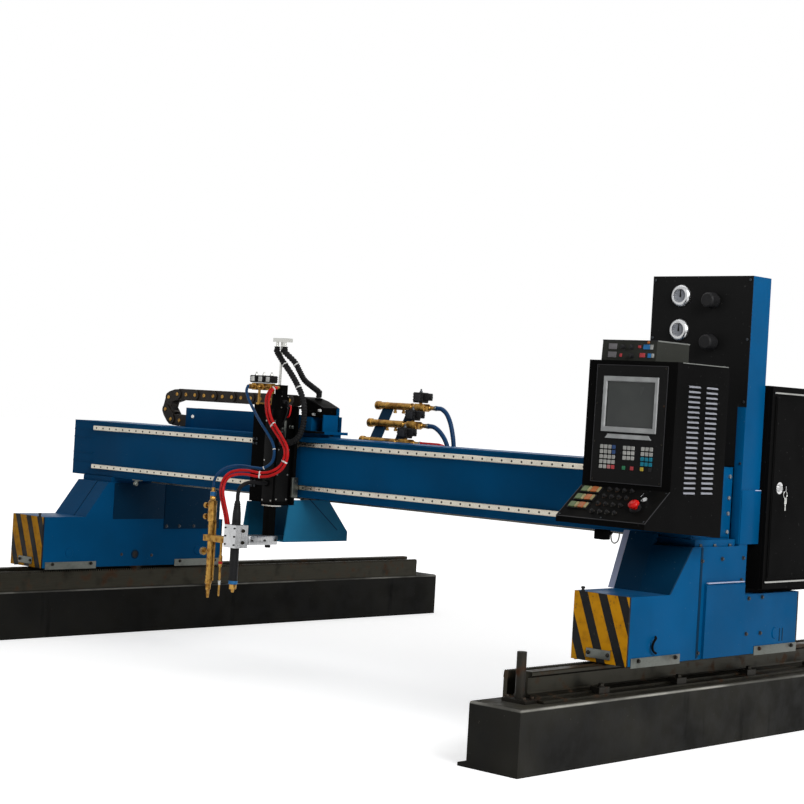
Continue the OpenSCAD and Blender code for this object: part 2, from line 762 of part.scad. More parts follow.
module drag_chain() color([0.07, 0.07, 0.07]) for (i = [0 : link_count - 1])
    chain_link(chain_place(i * chain_pitch), chain_place((i + 1) * chain_pitch), i % 2 == 0);

// Gas column

// Folded column open at the front, on a foot plate
module column() color([0.0, 0.4, 0.66]) {
    difference() {
        block([col_x0, col_y, col_z], [col_x1, col_y + col_d, col_top]);
        block([col_x0 + col_wall, col_y - 1, col_z + col_wall],
              [col_x1 - col_wall, col_y + col_d - col_wall, col_top - col_wall]);
    }
    block([rail_x - truck_w / 2, col_y, ped_z], [col_x1, ped_y, col_z + eps]);
}

// Front panel of the gas column, with bores for the gauges and regulators
module gas_panel() color([0.05, 0.05, 0.05]) difference() {
    block([col_x0, panel_y, beam_top + 3], [col_x1, col_y, col_top]);
    for (z = dial_z) rod_y(40, panel_y - 1, col_y + 1, dial_x, z);
    for (z = reg_z) rod_y(26, panel_y - 1, col_y + 1, reg_x, z);
}

// Pressure gauges: stepped cases with a recessed dial and a stem through the panel
module gauges() color([0.8, 0.8, 0.8]) for (z = dial_z) translate([dial_x, panel_y, z]) rotate([90, 0, 0])
    rotate_extrude() polygon([[3 + run_gap, -30], [16, -30], [16, 0], [dial_d / 2, 0], [dial_d / 2, 5],
                              [dial_d / 2 - 14, 8], [dial_d / 2 - 14, dial_t], [dial_d / 2 - 18, dial_t],
                              [dial_d / 2 - 18, dial_t - 10], [3 + run_gap, dial_t - 10]]);

// Pointer on its spindle
module needle(z) translate([dial_x, panel_y, z]) rotate([90, 0, 0]) {
    translate([0, 0, -20]) cylinder(d = 6, h = dial_t - 7 + 20);
    translate([0, 0, dial_t - 9]) linear_extrude(1.5)
        polygon([[-5, -7], [5, -7], [1, dial_d / 2 - 21], [-1, dial_d / 2 - 21]]);
}

module needle_upper() color([0.1, 0.1, 0.1]) needle(dial_z[1]);
module needle_lower() color([0.1, 0.1, 0.1]) needle(dial_z[0]);

knob_l = 62;

// Ribbed hand knob of a pressure regulator, with its spindle through the panel
module regulator_knob(z) translate([reg_x, panel_y - 0.5, z]) rotate([90, 0, 0]) {
    difference() {
        rotate_extrude() polygon([[0, 0], [reg_d / 2 - 6, 0], [reg_d / 2 - 6, 10], [reg_d / 2, 16],
                                  [reg_d / 2 - 4, knob_l - 6], [reg_d / 2 - 10, knob_l], [0, knob_l]]);
        for (i = [0 : 17]) rotate([0, 0, i * 20]) translate([reg_d / 2 + 1, 0, 18])
            cylinder(d = 6, h = knob_l);
    }
    translate([0, 0, -30]) cylinder(d = 26 - 2 * run_gap, h = 31);
}

module regulator_knob_upper() color([0.04, 0.04, 0.04]) regulator_knob(reg_z[1]);
module regulator_knob_lower() color([0.04, 0.04, 0.04]) regulator_knob(reg_z[0]);

// Console

function con_points(t) =
    [[con_back - t, con_z + t], [con_back - t, con_top - t], [con_front + t, con_top - t],
     [con_front - face_run + t, desk_z - t * 0.5], [tip_y + t, tip_z - t * 0.7],
     [tip_y + t, tip_z - lip_h + t]];

// Frame on the screen face: right, up and out of the face, from the face's lower middle
module on_face() translate([(con_x0 + con_x1) / 2, con_front - face_run, desk_z])
    rotate([90 - face_tilt, 0, 0]) children();

// Frame on the desk: right, up the slope and out of it, from the desk's front middle
module on_desk() translate([(con_x0 + con_x1) / 2, tip_y, tip_z]) rotate([90 - desk_tilt, 0, 0]) children();

rocker_w = 98;
rocker_l = 40;
rocker_play = 1.6;
rocker_x = -con_w / 2 + 73;
rocker_rise = [74, 127, 180];
pivot_d = 5;
pivot_drop = 8;
lug_t = 5;
estop_place = [con_w / 2 - 98, 88];
key_place = [con_w / 2 - 84, 142];
neck_d = 22;

// Lugs under the desk that carry a rocker's pivot
module rocker_lugs(v) translate([rocker_x, v, 0]) difference() {
    for (s = [-1, 1]) translate([0, s * (rocker_l / 2 + 2 * seat_gap + lug_t / 2), 0])
        block([-8, -lug_t / 2, -pivot_drop - 7], [8, lug_t / 2, -con_wall + 1]);
    rod_y(pivot_d + 2 * run_gap, -rocker_l, rocker_l, 0, -pivot_drop);
}

// Sheet-metal console with louvred side, window and cut-outs, on a plate against the beam
module console_shell() color([0.05, 0.05, 0.05]) {
    difference() {
        along_x(con_x0, con_x1) polygon(con_points(0));
        along_x(con_x0 + con_wall, con_x1 - con_wall) polygon(con_points(con_wall));
        for (i = [0 : louvres - 1]) for (k = [0, 1])
            block([con_x1 - con_wall - 1, con_front + 95 + k * 130, con_top - 100 - i * 21],
                  [con_x1 + 1, con_front + 165 + k * 130, con_top - 92 - i * 21]);
        on_face() translate([0, fascia_rise + lcd_rise + lcd_h / 2, 0])
            cube([lcd_w + 2 * lcd_lap + 2 * seat_gap, lcd_h + 2 * lcd_lap + 2 * seat_gap, con_wall * 3],
                 center = true);
        on_desk() {
            for (v = rocker_rise) translate([rocker_x, v, 0])
                cube([rocker_w + 2 * rocker_play, rocker_l + 2 * seat_gap, con_wall * 4], center = true);
            for (p = [estop_place, key_place]) translate([p[0], p[1], -con_wall * 2])
                cylinder(d = neck_d + 2 * run_gap, h = con_wall * 3);
        }
    }
    on_desk() for (v = rocker_rise) rocker_lugs(v);
    block([con_x0 + 77, con_back - eps, con_z + 30], [beam_right - 10, beam_y, con_z + 230]);
}

// Front panel round the screen's window
module console_fascia() color([0.07, 0.07, 0.075]) on_face() difference() {
    translate([-fascia_w / 2, fascia_rise, 0]) cube([fascia_w, fascia_h, fascia_t]);
    translate([-lcd_w / 2, fascia_rise + lcd_rise, -1]) cube([lcd_w, lcd_h, fascia_t + 2]);
}

// Screen glass in the window
module screen() color([0.25, 0.27, 0.27]) on_face()
    translate([-lcd_w / 2 - lcd_lap, fascia_rise + lcd_rise - lcd_lap, -con_wall])
        cube([lcd_w + 2 * lcd_lap, lcd_h + 2 * lcd_lap, con_wall]);

key_w = 16;
key_step = 21;
key_t = 2.5;
key_top = fascia_rise + 143;
key_left = -fascia_w / 2 + 43;
key_middle = -fascia_w / 2 + 162;
key_right = fascia_w / 2 - 110;

// Film key in a column and a row of its block
module film_key(x, column, row)
    translate([x + column * key_step, key_top - row * key_step, fascia_t]) cube([key_w, key_w, key_t]);

module keypad(x, columns, rows) for (i = [0 : columns - 1]) for (k = [0 : rows - 1]) film_key(x, i, k);

// Three blocks of film keys, the middle and right ones with two lower keys apart
module keypads() color([0.7, 0.7, 0.68]) on_face() {
    keypad(key_left, 4, 5);
    keypad(key_middle, 3, 3);
    keypad(key_right, 3, 4);
    for (x = [key_middle, key_right]) for (i = [0, 2]) film_key(x, i, 4);
}

box_w = 280;
box_d = 240;
box_h = 86;
box_x = con_x0 + 45;

// Torch height control box on top of the console
module height_box() color([0.3, 0.3, 0.3]) along_x(box_x, box_x + box_w) {
    y = con_front + 20;
    polygon([[y, con_top], [y + 6, con_top + box_h], [y + box_d, con_top + box_h], [y + box_d, con_top]]);
}

// Twin rocker switch on a pivot pin under the desk's sheet
module rocker(v) on_desk() translate([rocker_x, v, 0]) {
    translate([-rocker_w / 2, -rocker_l / 2, -pivot_drop - 3]) cube([rocker_w, rocker_l, pivot_drop + 5]);
    rod_y(pivot_d, -rocker_l / 2 - lug_t, rocker_l / 2 + lug_t, 0, -pivot_drop);
    along_y(-rocker_l / 2, rocker_l / 2)
        polygon([[-rocker_w / 2, 2], [rocker_w / 2, 2], [rocker_w / 2, 7], [0, 4.5], [-rocker_w / 2, 7]]);
}

module rocker_front() color([0.55, 0.45, 0.15]) rocker(rocker_rise[0]);
module rocker_middle() color([0.55, 0.45, 0.15]) rocker(rocker_rise[1]);
module rocker_rear() color([0.55, 0.45, 0.15]) rocker(rocker_rise[2]);

// Mushroom head of the emergency stop on its stem
module estop_button() color([0.8, 0.05, 0.03]) on_desk() translate([estop_place[0], estop_place[1], 0])
    rotate_extrude() polygon([[0, -14], [neck_d / 2, -14], [neck_d / 2, 18], [stop_head_d / 2 - 4, 18],
                              [stop_head_d / 2, 22], [stop_head_d / 2, 28], [stop_head_d / 2 - 6, 34],
                              [stop_head_d / 4, 37], [0, 38]]);

// Key switch barrel with its key grip
module key_switch() color([0.75, 0.75, 0.75]) on_desk() translate([key_place[0], key_place[1], 0]) {
    translate([0, 0, -14]) cylinder(d = neck_d, h = 14.5);
    translate([0, 0, 0.5]) cylinder(d = neck_d + 6, h = 8);
    translate([-1.5, -11, 8]) cube([3, 22, 24]);
}

// Cabinet

// Electrics cabinet open on its outer side, standing on two rails over the truck's rear end
module cabinet_shell() color([0.04, 0.04, 0.045]) {
    difference() {
        block([cab_x0, cab_y0, cab_z], [cab_x1, cab_y1, cab_top]);
        block([cab_x0 + cab_wall, cab_y0 + cab_wall, cab_z + cab_wall],
              [cab_x1 + 1, cab_y1 - cab_wall, cab_top - cab_wall]);
    }
    for (x = [rail_x - 90, rail_x + 60])
        block([x, cab_y0, rear_z], [x + 40, cab_y1, cab_z + eps]);
    for (z = [cab_z + 90, cab_top - 130])
        block([cab_x1 - 30, cab_y1 - eps, z], [hinge_x - door_pin_d - seat_gap, hinge_y + 6, z + 40]);
    for (z = [cab_z + 90, cab_top - 130]) difference() {
        block([hinge_x - door_pin_d - 1, hinge_y - 6, z], [hinge_x + 8, hinge_y + 6, z + 40]);
        rod_z(door_pin_d + 2 * run_gap, z - 1, z + 41, hinge_x, hinge_y);
    }
}

drive_rise = 480;
drive_h = 220;
drive_w = 120;
drive_d = 144;
drive_pitch = 160;
breaker_rise = 300;
breaker_h = 90;
breaker_w = 35;
breaker_d = 74;
breaker_pitch = 40;
strip_rise = 120;
strip_h = 50;
back_t = 6;

// Mounting plate with drives, breakers and terminals
module electrics_plate() color([0.7, 0.71, 0.7]) {
    x = cab_x0 + cab_wall;
    y = cab_y0 + 40;
    z = cab_z + 50;
    front = x + back_t - eps;
    block([x, y, z], [x + back_t, cab_y1 - 40, cab_top - 50]);
    for (i = [0 : 2]) translate([front, y + 30 + i * drive_pitch, z + drive_rise])
        cube([drive_d, drive_w, drive_h]);
    for (i = [0 : 9]) translate([front, y + 40 + i * breaker_pitch, z + breaker_rise])
        cube([breaker_d, breaker_w, breaker_h]);
    block([front, y + 40, z + strip_rise], [x + 60, cab_y1 - 90, z + strip_rise + strip_h]);
}

// Door leaf with a raised field and hinge knuckles
module cabinet_door() color([0.04, 0.04, 0.045]) {
    x0 = cab_x1 + seat_gap;
    x1 = x0 + door_t;
    difference() {
        union() {
            block([x0, cab_y0 + door_gap, cab_z + door_gap], [x1 - 5, cab_y1 - door_gap, cab_top - door_gap]);
            block([x1 - 5 - eps, cab_y0 + 30, cab_z + 45], [x1, cab_y1 - 30, cab_top - 45]);
        }
        block([x0 - 1, cab_y0 + 20, cab_z + 30], [x1 - 8, cab_y1 - 20, cab_top - 30]);
        rod_x(neck_d + 2 * run_gap, x0, x1 + 1, lock_y, lock_z);
    }
    for (z = [cab_z + 90, cab_top - 130]) for (s = [-1, 1]) {
        zc = z + 20 + s * (20 + seat_gap + 12);
        block([x0 + 3, cab_y1 - door_gap - eps, zc - 12], [x1 - 6, hinge_y, zc + 12]);
        rod_z(door_t - 8, zc - 12, zc + 12, hinge_x, hinge_y);
    }
    for (z = [cab_z + 90, cab_top - 130]) rod_z(door_pin_d, z - 20, z + 60, hinge_x, hinge_y);
}

// Turning lock with its key
module door_lock() color([0.8, 0.8, 0.8]) {
    x = cab_x1 + seat_gap + door_t;
    rod_x(neck_d, x - 14, x + 1, lock_y, lock_z);
    rod_x(neck_d + 10, x + 0.5, x + 10, lock_y, lock_z);
    block([x + 9, lock_y - 1.5, lock_z - 11], [x + 36, lock_y + 1.5, lock_z + 11]);
}

// Carriage

module carriage_plate() color([0.05, 0.05, 0.05]) {
    block([plate_x0, plate_y0, plate_z0], [plate_x1, plate_y1, plate_z1]);
    block([plate_x0, plate_y1 - eps, deck_z], [junction_x + junction_w, deck_y1, deck_z + deck_t]);
    block([plate_x0, deck_y1 - 12, deck_z + deck_t - eps], [plate_x0 + arm_len, deck_y1, chain_arm_z]);
    block([plate_x0, deck_y1 - eps, chain_arm_z - 12], [plate_x0 + arm_len, chain_y + 22, chain_arm_z]);
}

block_l = 84;
block_w = 48;

// Guide blocks that run on the linear guides
module guide_blocks() color([0.55, 0.55, 0.55]) for (z = guide_z) for (s = [-1, 1])
    difference() {
        x = carriage_x + s * (plate_w / 2 - block_l / 2 - 20);
        block([x - block_l / 2, plate_y1, z - block_w / 2], [x + block_l / 2, beam_y - 4, z + block_w / 2]);
        block([x - block_l, beam_y - guide_h - seat_gap, z - guide_w / 2 - seat_gap],
              [x + block_l, beam_y + 1, z + guide_w / 2 + seat_gap]);
    }

// Folded bracket under the beam with sloping side plates and an open tray
module carriage_bracket() color([0.0, 0.3, 0.52]) {
    shoulder = plate_z0 - 3;
    side = [[bracket_y0, bracket_z0], [bracket_y0 + 26, shoulder], [plate_y1, shoulder],
            [plate_y1, bracket_z1], [bracket_top_y, bracket_z1], [bracket_y1, bracket_z0 + bracket_lip],
            [bracket_y1, bracket_z0]];
    for (x = [plate_x0, plate_x1 - bracket_t]) along_x(x, x + bracket_t) polygon(side);
    block([plate_x0 + bracket_t - eps, bracket_y0, bracket_z0],
          [plate_x1 - bracket_t + eps, bracket_y1, bracket_z0 + bracket_t]);
    block([plate_x0 + bracket_t - eps, bracket_y1 - bracket_t, bracket_z0],
          [plate_x1 - bracket_t + eps, bracket_y1, bracket_z0 + bracket_lip]);
}

c_motor_d = 90;
c_motor_z1 = beam_z - beam_rack_h - 8;

// Upright carriage motor on the bracket's floor
module carriage_motor() color([0.1, 0.1, 0.11]) difference() {
    union() {
        rod_z(c_motor_d, bracket_z0 + bracket_t, c_motor_z1 - 12, carriage_x, carriage_pinion_y);
        rod_z(c_motor_d - 20, c_motor_z1 - 12 - eps, c_motor_z1, carriage_x, carriage_pinion_y);
    }
    rod_z(shaft_d + 2 * run_gap, c_motor_z1 - shaft_in, c_motor_z1 + 1, carriage_x, carriage_pinion_y);
}

// Pinion of the carriage drive, in mesh with the beam's rack
module carriage_pinion() color([0.5, 0.49, 0.46]) {
    translate([carriage_x, carriage_pinion_y, beam_z - beam_rack_h + 1]) linear_extrude(beam_rack_h - 4)
        rotate(180) polygon(gear_points(beam_rack_module, carriage_teeth));
    rod_z(shaft_d, c_motor_z1 - shaft_in + 1, beam_z - beam_rack_h + 2, carriage_x, carriage_pinion_y);
}

gland_d = 40;
gland_l = 20;
motor_w = 64;
motor_z = lifter_z1 + 120;
port_y = plate_y0 - 79;
port_z = motor_z + 31;
port_gap = 20;
lead_d = 20;
lead_z = lifter_z0 + 112;
side_gland = [slide_x + lifter_w / 2, plate_y0 - 44, lifter_z0 + 330];

// Lifter housing with a square bore for the slide, its motor and hose ports on top, and cable glands
module lifter_body() color([0.06, 0.06, 0.06]) {
    bore = slide_w / 2 + seat_gap;
    difference() {
        block([slide_x - lifter_w / 2, plate_y0 - lifter_d, lifter_z0],
              [slide_x + lifter_w / 2, plate_y0, lifter_z1]);
        translate([slide_x, slide_y, 0]) block([-bore, -bore, lifter_z0 - 1], [bore, bore, lifter_z1 - 20]);
    }
    rod_z(70, lifter_z1 - eps, motor_z - 80 + eps, slide_x, slide_y + 26);
    block([slide_x - motor_w / 2, plate_y0 - 84, motor_z - 80],
          [slide_x + motor_w / 2, plate_y0 - 20, motor_z]);
    block([slide_x - 26, port_y + 10, motor_z - eps], [slide_x + 26, plate_y0 - 29, motor_z + 47]);
    for (s = [-1, 1]) rod_y(14, port_y, port_y + 11, slide_x + s * port_gap / 2, port_z);
    rod_x(gland_d, side_gland[0] - eps, side_gland[0] + gland_l, side_gland[1], side_gland[2]);
    rod_y(34, plate_y0 - lifter_d - 10, plate_y0 - lifter_d + eps, slide_x, lead_z);
}

coil_step = 58;
coil_x = [for (i = [0 : 2]) carriage_x - 143 + i * coil_step];
bank_y = plate_y0 - 14;
bank_z = plate_z1 + 93;

// Brass valve manifold with three solenoid coils, on two legs on the plate's top edge
module solenoid_bank() color([0.7, 0.5, 0.2]) {
    rod_x(28, coil_x[0] - 50, coil_x[2] + 47, bank_y, bank_z);
    for (x = [coil_x[0] + coil_step / 2, coil_x[2] + 20]) {
        block([x - 10, bank_y - 8, plate_z1], [x + 10, plate_y1, plate_z1 + 10]);
        rod_z(14, plate_z1 + 10 - eps, bank_z, x, bank_y);
    }
    for (x = coil_x) {
        rod_z(20, bank_z, bank_z + 36, x, bank_y);
        block([x - 22, bank_y - 26, bank_z + 22], [x + 22, bank_y + 26, bank_z + 60]);
        rod_z(10, bank_z + 59, bank_z + 78, x, bank_y);
        rod_y(16, bank_y - 40, bank_y, x, bank_z);
    }
}

mast_x = carriage_x + 14;
mast_y = (plate_y0 + plate_y1) / 2;
mast_d = 14;
mast_top = plate_z1 + mast_h;
conduit_y = mast_y - mast_d / 2 - conduit_d / 2 - 3;
sleeve_x = [mast_x - 8, mast_x + 50];
sleeve_z = mast_top - 44;

// Steel mast with a cross bracket that holds the conduits
module mast() color([0.7, 0.7, 0.7]) {
    rod_z(mast_d, plate_z1, mast_top, mast_x, mast_y);
    block([sleeve_x[0] - 24, conduit_y - 10, mast_top - 20],
          [sleeve_x[1] + 22, mast_y + mast_d / 2, mast_top]);
    for (x = sleeve_x) rod_z(16, sleeve_z, mast_top - 20 + eps, x, conduit_y);
}

junction_y = beam_y + 30;
junction_d = 120;
junction_z = deck_z + deck_t;
top_gland = [junction_x + 50, junction_y + junction_d / 2, junction_z + junction_h[0] - 2];

// Terminal box with a sloping lid on the deck over the beam
module junction_box() color([0.13, 0.13, 0.13]) {
    along_y(junction_y, junction_y + junction_d)
        polygon([[junction_x, junction_z], [junction_x + junction_w, junction_z],
                 [junction_x + junction_w, junction_z + junction_h[1]],
                 [junction_x, junction_z + junction_h[0]]]);
    rod_z(gland_d, top_gland[2] - 40, top_gland[2], top_gland[0], top_gland[1]);
}

// Three points in line that make a straight end
function lead_in(p, along, step) = [p, p + along * step, p + 2 * along * step];
function lead_out(p, along, step) = [p + 2 * along * step, p + along * step, p];
function shifted(points, by) = [for (p = points) p + by];
right_end = [side_gland[0] + gland_l + seat_gap, side_gland[1], side_gland[2]];
top_end = top_gland + [0, 0, seat_gap];
conduit_paths =
    [concat(lead_in([sleeve_x[0], conduit_y, sleeve_z - seat_gap], [0, 0, -1], 13),
            shifted([[48, -14, 235], [116, -12, 170], [169, -12, 112], [213, -14, 50], [238, -19, -24],
                     [242, -26, -95], [230, -39, -153]], [carriage_x, plate_y0, plate_z1]),
            lead_out(right_end, [1, 0, 0], 14)),
     concat(lead_in([sleeve_x[1], conduit_y, sleeve_z - seat_gap], [0, 0, -1], 13),
            shifted([[126, 1, 230], [150, 16, 185], [160, 46, 140], [169, 96, 108]],
                    [carriage_x, plate_y0, plate_z1]),
            lead_out(top_end, [0, 0, 1], 14))];

// Two ribbed conduits from the mast's bracket down to the lifter and the terminal box
module conduits() color([0.04, 0.04, 0.04]) for (p = conduit_paths) ribbed(p, conduit_d, conduit_d - 10, 8);

arm_w = 80;
holder_rise = 228;
holder_h = 116;
holder_w = 88;
holder_z0 = torch_tip + holder_rise;
holder_z1 = holder_z0 + holder_h;
boot_h = 122;
tail_h = 20;
tail_x = [torch_x - 74, torch_x - 54];
slide_short = 190;
igniter_x = torch_x - 90;
igniter_tip = torch_tip - 30;

// Square lifting slide with the arm, the clamps that hold both torches, hose tails and the igniter
module lift_slide() color([0.72, 0.73, 0.74]) {
    block([slide_x - slide_w / 2, slide_y - slide_w / 2, slide_z0],
          [slide_x + slide_w / 2, slide_y + slide_w / 2, lifter_z1 - slide_short]);
    block([slide_x - arm_w / 2, torch_y + 40, arm_z - arm_h],
          [slide_x + arm_w / 2, slide_y + slide_w / 2 + 8, arm_z + eps]);
    rod_z(30, arm_z - arm_h - 18, arm_z - arm_h + eps, slide_x, slide_y);
    difference() {
        block([torch_x - holder_w / 2, torch_y - 40, holder_z0],
              [torch_x + holder_w / 2, torch_y + 44, holder_z1]);
        rod_z(torch_d + 0.2, holder_z0 - 1, holder_z1 + 1, torch_x, torch_y);
    }
    difference() {
        block([oxy_x - 30, torch_y - 26, arm_z - arm_h], [torch_x - holder_w / 2 + 1, torch_y + 26, bar_z1]);
        rod_z(oxy_d + 0.2, arm_z - arm_h - 1, arm_z, oxy_x, torch_y);
    }
    for (x = tail_x) rod_z(14, bar_z1 - eps, bar_z1 + tail_h, x, torch_y);
    rod_z(12, igniter_tip, arm_z - arm_h + eps, igniter_x, torch_y - 12);
    rod_z(20, igniter_tip + 150, igniter_tip + 210, igniter_x, torch_y - 12);
}

// Plasma torch: stepped nozzle, collar, straight body and boot
module plasma_torch() color([0.05, 0.05, 0.05]) translate([torch_x, torch_y, torch_tip]) rotate_extrude()
    polygon([[0, 0], [6, 0], [9, 14], [torch_d / 2 - 5, 16], [torch_d / 2 - 4, 40], [torch_d / 2, 42],
             [torch_d / 2, holder_rise + holder_h + 2], [torch_d / 2 - 2, holder_rise + holder_h + 60],
             [torch_d / 2 - 10, holder_rise + holder_h + boot_h], [0, holder_rise + holder_h + boot_h]]);

clamp_knob_drop = 57;
clamp_knob_z = arm_z - arm_h - clamp_knob_drop;
nozzle_len = 40;
head_len = 30;
head_top = nozzle_len + 4 + head_len;
collar_len = 18;
valve_low = 174;
valve_high = 70;
nut_low = 46;
nut_high = 20;

// Oxy-fuel torch: nozzle, head, tube with a clamp knob, valve block and hose tail
module oxy_torch() color([0.72, 0.53, 0.25]) {
    difference() {
        translate([oxy_x, torch_y, oxy_tip]) rotate_extrude()
            polygon([[0, 0], [7, 0], [10, nozzle_len], [14, nozzle_len + 4], [14, head_top - 4],
                     [18, head_top], [18, head_top + collar_len], [oxy_d / 2, head_top + collar_len + 4],
                     [oxy_d / 2, oxy_len - valve_low - 6], [22, oxy_len - valve_low],
                     [22, oxy_len - valve_high],
                     [12, oxy_len - valve_high + 8], [12, oxy_len - nut_low - 2], [15, oxy_len - nut_low],
                     [15, oxy_len - nut_high], [9, oxy_len - nut_high + 2], [9, oxy_len], [0, oxy_len]]);
        for (z = valve_z) rod_x(10 + 2 * run_gap, oxy_x - 30, oxy_x - 2, torch_y, z);
    }
    rod_x(12, oxy_x - 46, oxy_x, torch_y, clamp_knob_z);
    rod_x(38, oxy_x - 60, oxy_x - 44, torch_y, clamp_knob_z);
}

// Fluted valve knob with its spindle in the valve block
module valve_knob(z) {
    rod_x(10, oxy_x - 42, oxy_x - 4, torch_y, z);
    difference() {
        rod_x(30, oxy_x - 54, oxy_x - 38, torch_y, z);
        for (i = [0 : 7]) translate([0, torch_y, z]) rotate([i * 45, 0, 0])
            rod_x(6, oxy_x - 55, oxy_x - 37, 16, 0);
    }
}

module valve_knob_upper() color([0.6, 0.4, 0.25]) valve_knob(valve_z[1]);
module valve_knob_lower() color([0.6, 0.4, 0.25]) valve_knob(valve_z[0]);

port_end = [slide_x, port_y - seat_gap, port_z];
tail_end = [for (x = tail_x) [x, torch_y, bar_z1 + tail_h + seat_gap]];
boot_end = [torch_x, torch_y, holder_z1 + boot_h + seat_gap];
lead_end = [slide_x, plate_y0 - lifter_d - 10 - seat_gap, lead_z];
red_left = [[69, -112, 73], [60, -124, 32], [68, -127, -19], [89, -127, -73], [130, -127, -122],
            [181, -127, -170], [220, -127, -218], [226, -130, -263], [206, -140, -309], [164, -160, -339],
            [111, -184, -349], [55, -214, -342], [2, -239, -345], [-38, -264, -363], [-60, -284, -404],
            [-53, -299, -458], [-29, -306, -512], [-3, -306, -575]];
red_right = [[89, -112, 77], [80, -124, 34], [88, -127, -15], [108, -127, -64], [146, -127, -109],
             [197, -127, -158], [240, -127, -213], [246, -130, -271], [222, -142, -325], [170, -164, -359],
             [111, -190, -369], [52, -220, -362], [4, -246, -365], [-26, -270, -381], [-40, -287, -413],
             [-33, -301, -461], [-10, -307, -512], [16, -307, -575]];
blue_run = [[-134, -87, 65], [-102, -94, 19], [-52, -102, -32], [18, -122, -85], [83, -130, -138],
            [132, -130, -191], [150, -130, -241], [140, -134, -292], [109, -159, -324], [70, -179, -326],
            [24, -199, -322], [-23, -219, -322], [-71, -249, -335], [-103, -279, -368]];
lead_run = [[70, -280, -430], [77, -249, -407], [84, -204, -400], [90, -169, -402]];
carriage_place = [carriage_x, plate_y0, plate_z1];
red_paths = [for (i = [0, 1])
    concat(lead_in(port_end + [(2 * i - 1) * port_gap / 2, 0, 0], [0, -1, 0], 8),
           shifted(i == 0 ? red_left : red_right, carriage_place), lead_out(tail_end[i], [0, 0, 1], 16))];
blue_path = concat(lead_in([coil_x[0], bank_y - 40 - seat_gap, bank_z], [0, -1, 0], 8),
                   shifted(blue_run, carriage_place),
                   lead_out([oxy_x, torch_y, oxy_top + seat_gap], [0, 0, 1], 16));
lead_path = concat(lead_in(boot_end, [0, 0, 1], 16), shifted(lead_run, carriage_place),
                   lead_out(lead_end, [0, -1, 0], 16));

// Two red hoses and one blue hose from the valves to the torches, and the plasma torch's lead
module torch_hoses() color([0.7, 0.05, 0.05]) {
    for (p = red_paths) hose(p, hose_d, 3);
    hose(blue_path, hose_d, 3);
    hose(lead_path, lead_d, 3);
}

// Rear gas manifold

manifold_x0 = -225;
manifold_l = 380;
manifold_d = 38;
manifold_hose_d = 24;
tube_gap_y = 54;
tube_gap_z = 94;
tube_place = [for (i = [0 : 2]) [beam_back + 30 + i * tube_gap_y, beam_top - 2 + i * tube_gap_z]];
manifold_cap = 30;
valve_x = manifold_x0 + 290;
valve_w = 50;
coil_l = 104;
coil_w = 52;
manifold_coil_h = 56;
tail_l = 35;
hose_exit = manifold_x0 + manifold_l + tail_l + seat_gap;
stay_x = [manifold_x0 + 50, manifold_x0 + 230];
stay_w = 66;
stay_t = 10;
stay_drop = 110;
clip_t = 14;
clip_z = beam_top - stay_drop;
clip_x = [405, 352, 338];

// One brass tube: screwed cap, body, valve block with its coil, nut and hose tail
module manifold_tube(y, z) {
    x1 = manifold_x0 + manifold_l;
    rod_x(manifold_d + 8, manifold_x0, manifold_x0 + manifold_cap, y, z);
    rod_x(manifold_d, manifold_x0 + manifold_cap - eps, valve_x - 30, y, z);
    rod_x(manifold_d - 10, valve_x - 30 - eps, x1, y, z);
    block([valve_x, y - valve_w / 2, z - 20], [valve_x + valve_w + 20, y + valve_w / 2, z + 20]);
    rod_z(18, z, z + 26, valve_x + valve_w / 2, y);
    block([valve_x - 10, y - coil_w / 2, z + 24],
          [valve_x - 10 + coil_l, y + coil_w / 2, z + 24 + manifold_coil_h]);
    rod_x(manifold_d - 2, x1 - 24, x1, y, z);
    rod_x(manifold_hose_d - 4, x1 - eps, x1 + tail_l, y, z);
    for (x = [stay_x[0] + stay_w + 20, stay_x[0] + stay_w + 80]) rod_z(14, z - manifold_d / 2 - 10, z, x, y);
}

// Three stepped brass tubes on two leaning stays, and a hose clip, behind the carriage's path
module gas_manifold() color([0.7, 0.5, 0.2]) {
    low = tube_place[0];
    top = tube_place[2];
    for (p = tube_place) manifold_tube(p[0], p[1]);
    for (x = stay_x) along_x(x, x + stay_w)
        polygon([[beam_back, clip_z], [beam_back + stay_t, clip_z], [low[0] + 14, low[1] - 30],
                 [top[0] + 22, top[1] + 8], [top[0] + 10, top[1] + 14], [low[0] - 2, low[1] - 18],
                 [beam_back, beam_top - 44]]);
    block([clip_x[2] - 18, beam_back, clip_z - clip_t], [clip_x[0] + 18, top[0] + 22, clip_z]);
}

red_bend = [[240, 0], [285, 0], [330, -1], [362, -9], [388, -32], [402, -66]];
middle_bend = [[240, -3], [274, -20], [308, -50], [334, -88], [348, -128], [352, -155]];
upper_bend = [[240, -3], [272, -24], [298, -62], [316, -108], [329, -158], [336, -205], [338, -245]];
manifold_bends = [red_bend, middle_bend, upper_bend];
manifold_paths =
    [for (i = [0 : 2]) let (y = tube_place[i][0], z = tube_place[i][1])
        concat(lead_in([hose_exit, y, z], [1, 0, 0], 12), [for (p = manifold_bends[i]) [p[0], y, z + p[1]]],
               lead_out([clip_x[i], y, clip_z + seat_gap], [0, 0, 1], 12))];

// Hoses from the manifold tubes down to the clip on the beam's rear face
module manifold_hoses() color([0.05, 0.3, 0.55]) for (p = manifold_paths) hose(p, manifold_hose_d, 3);

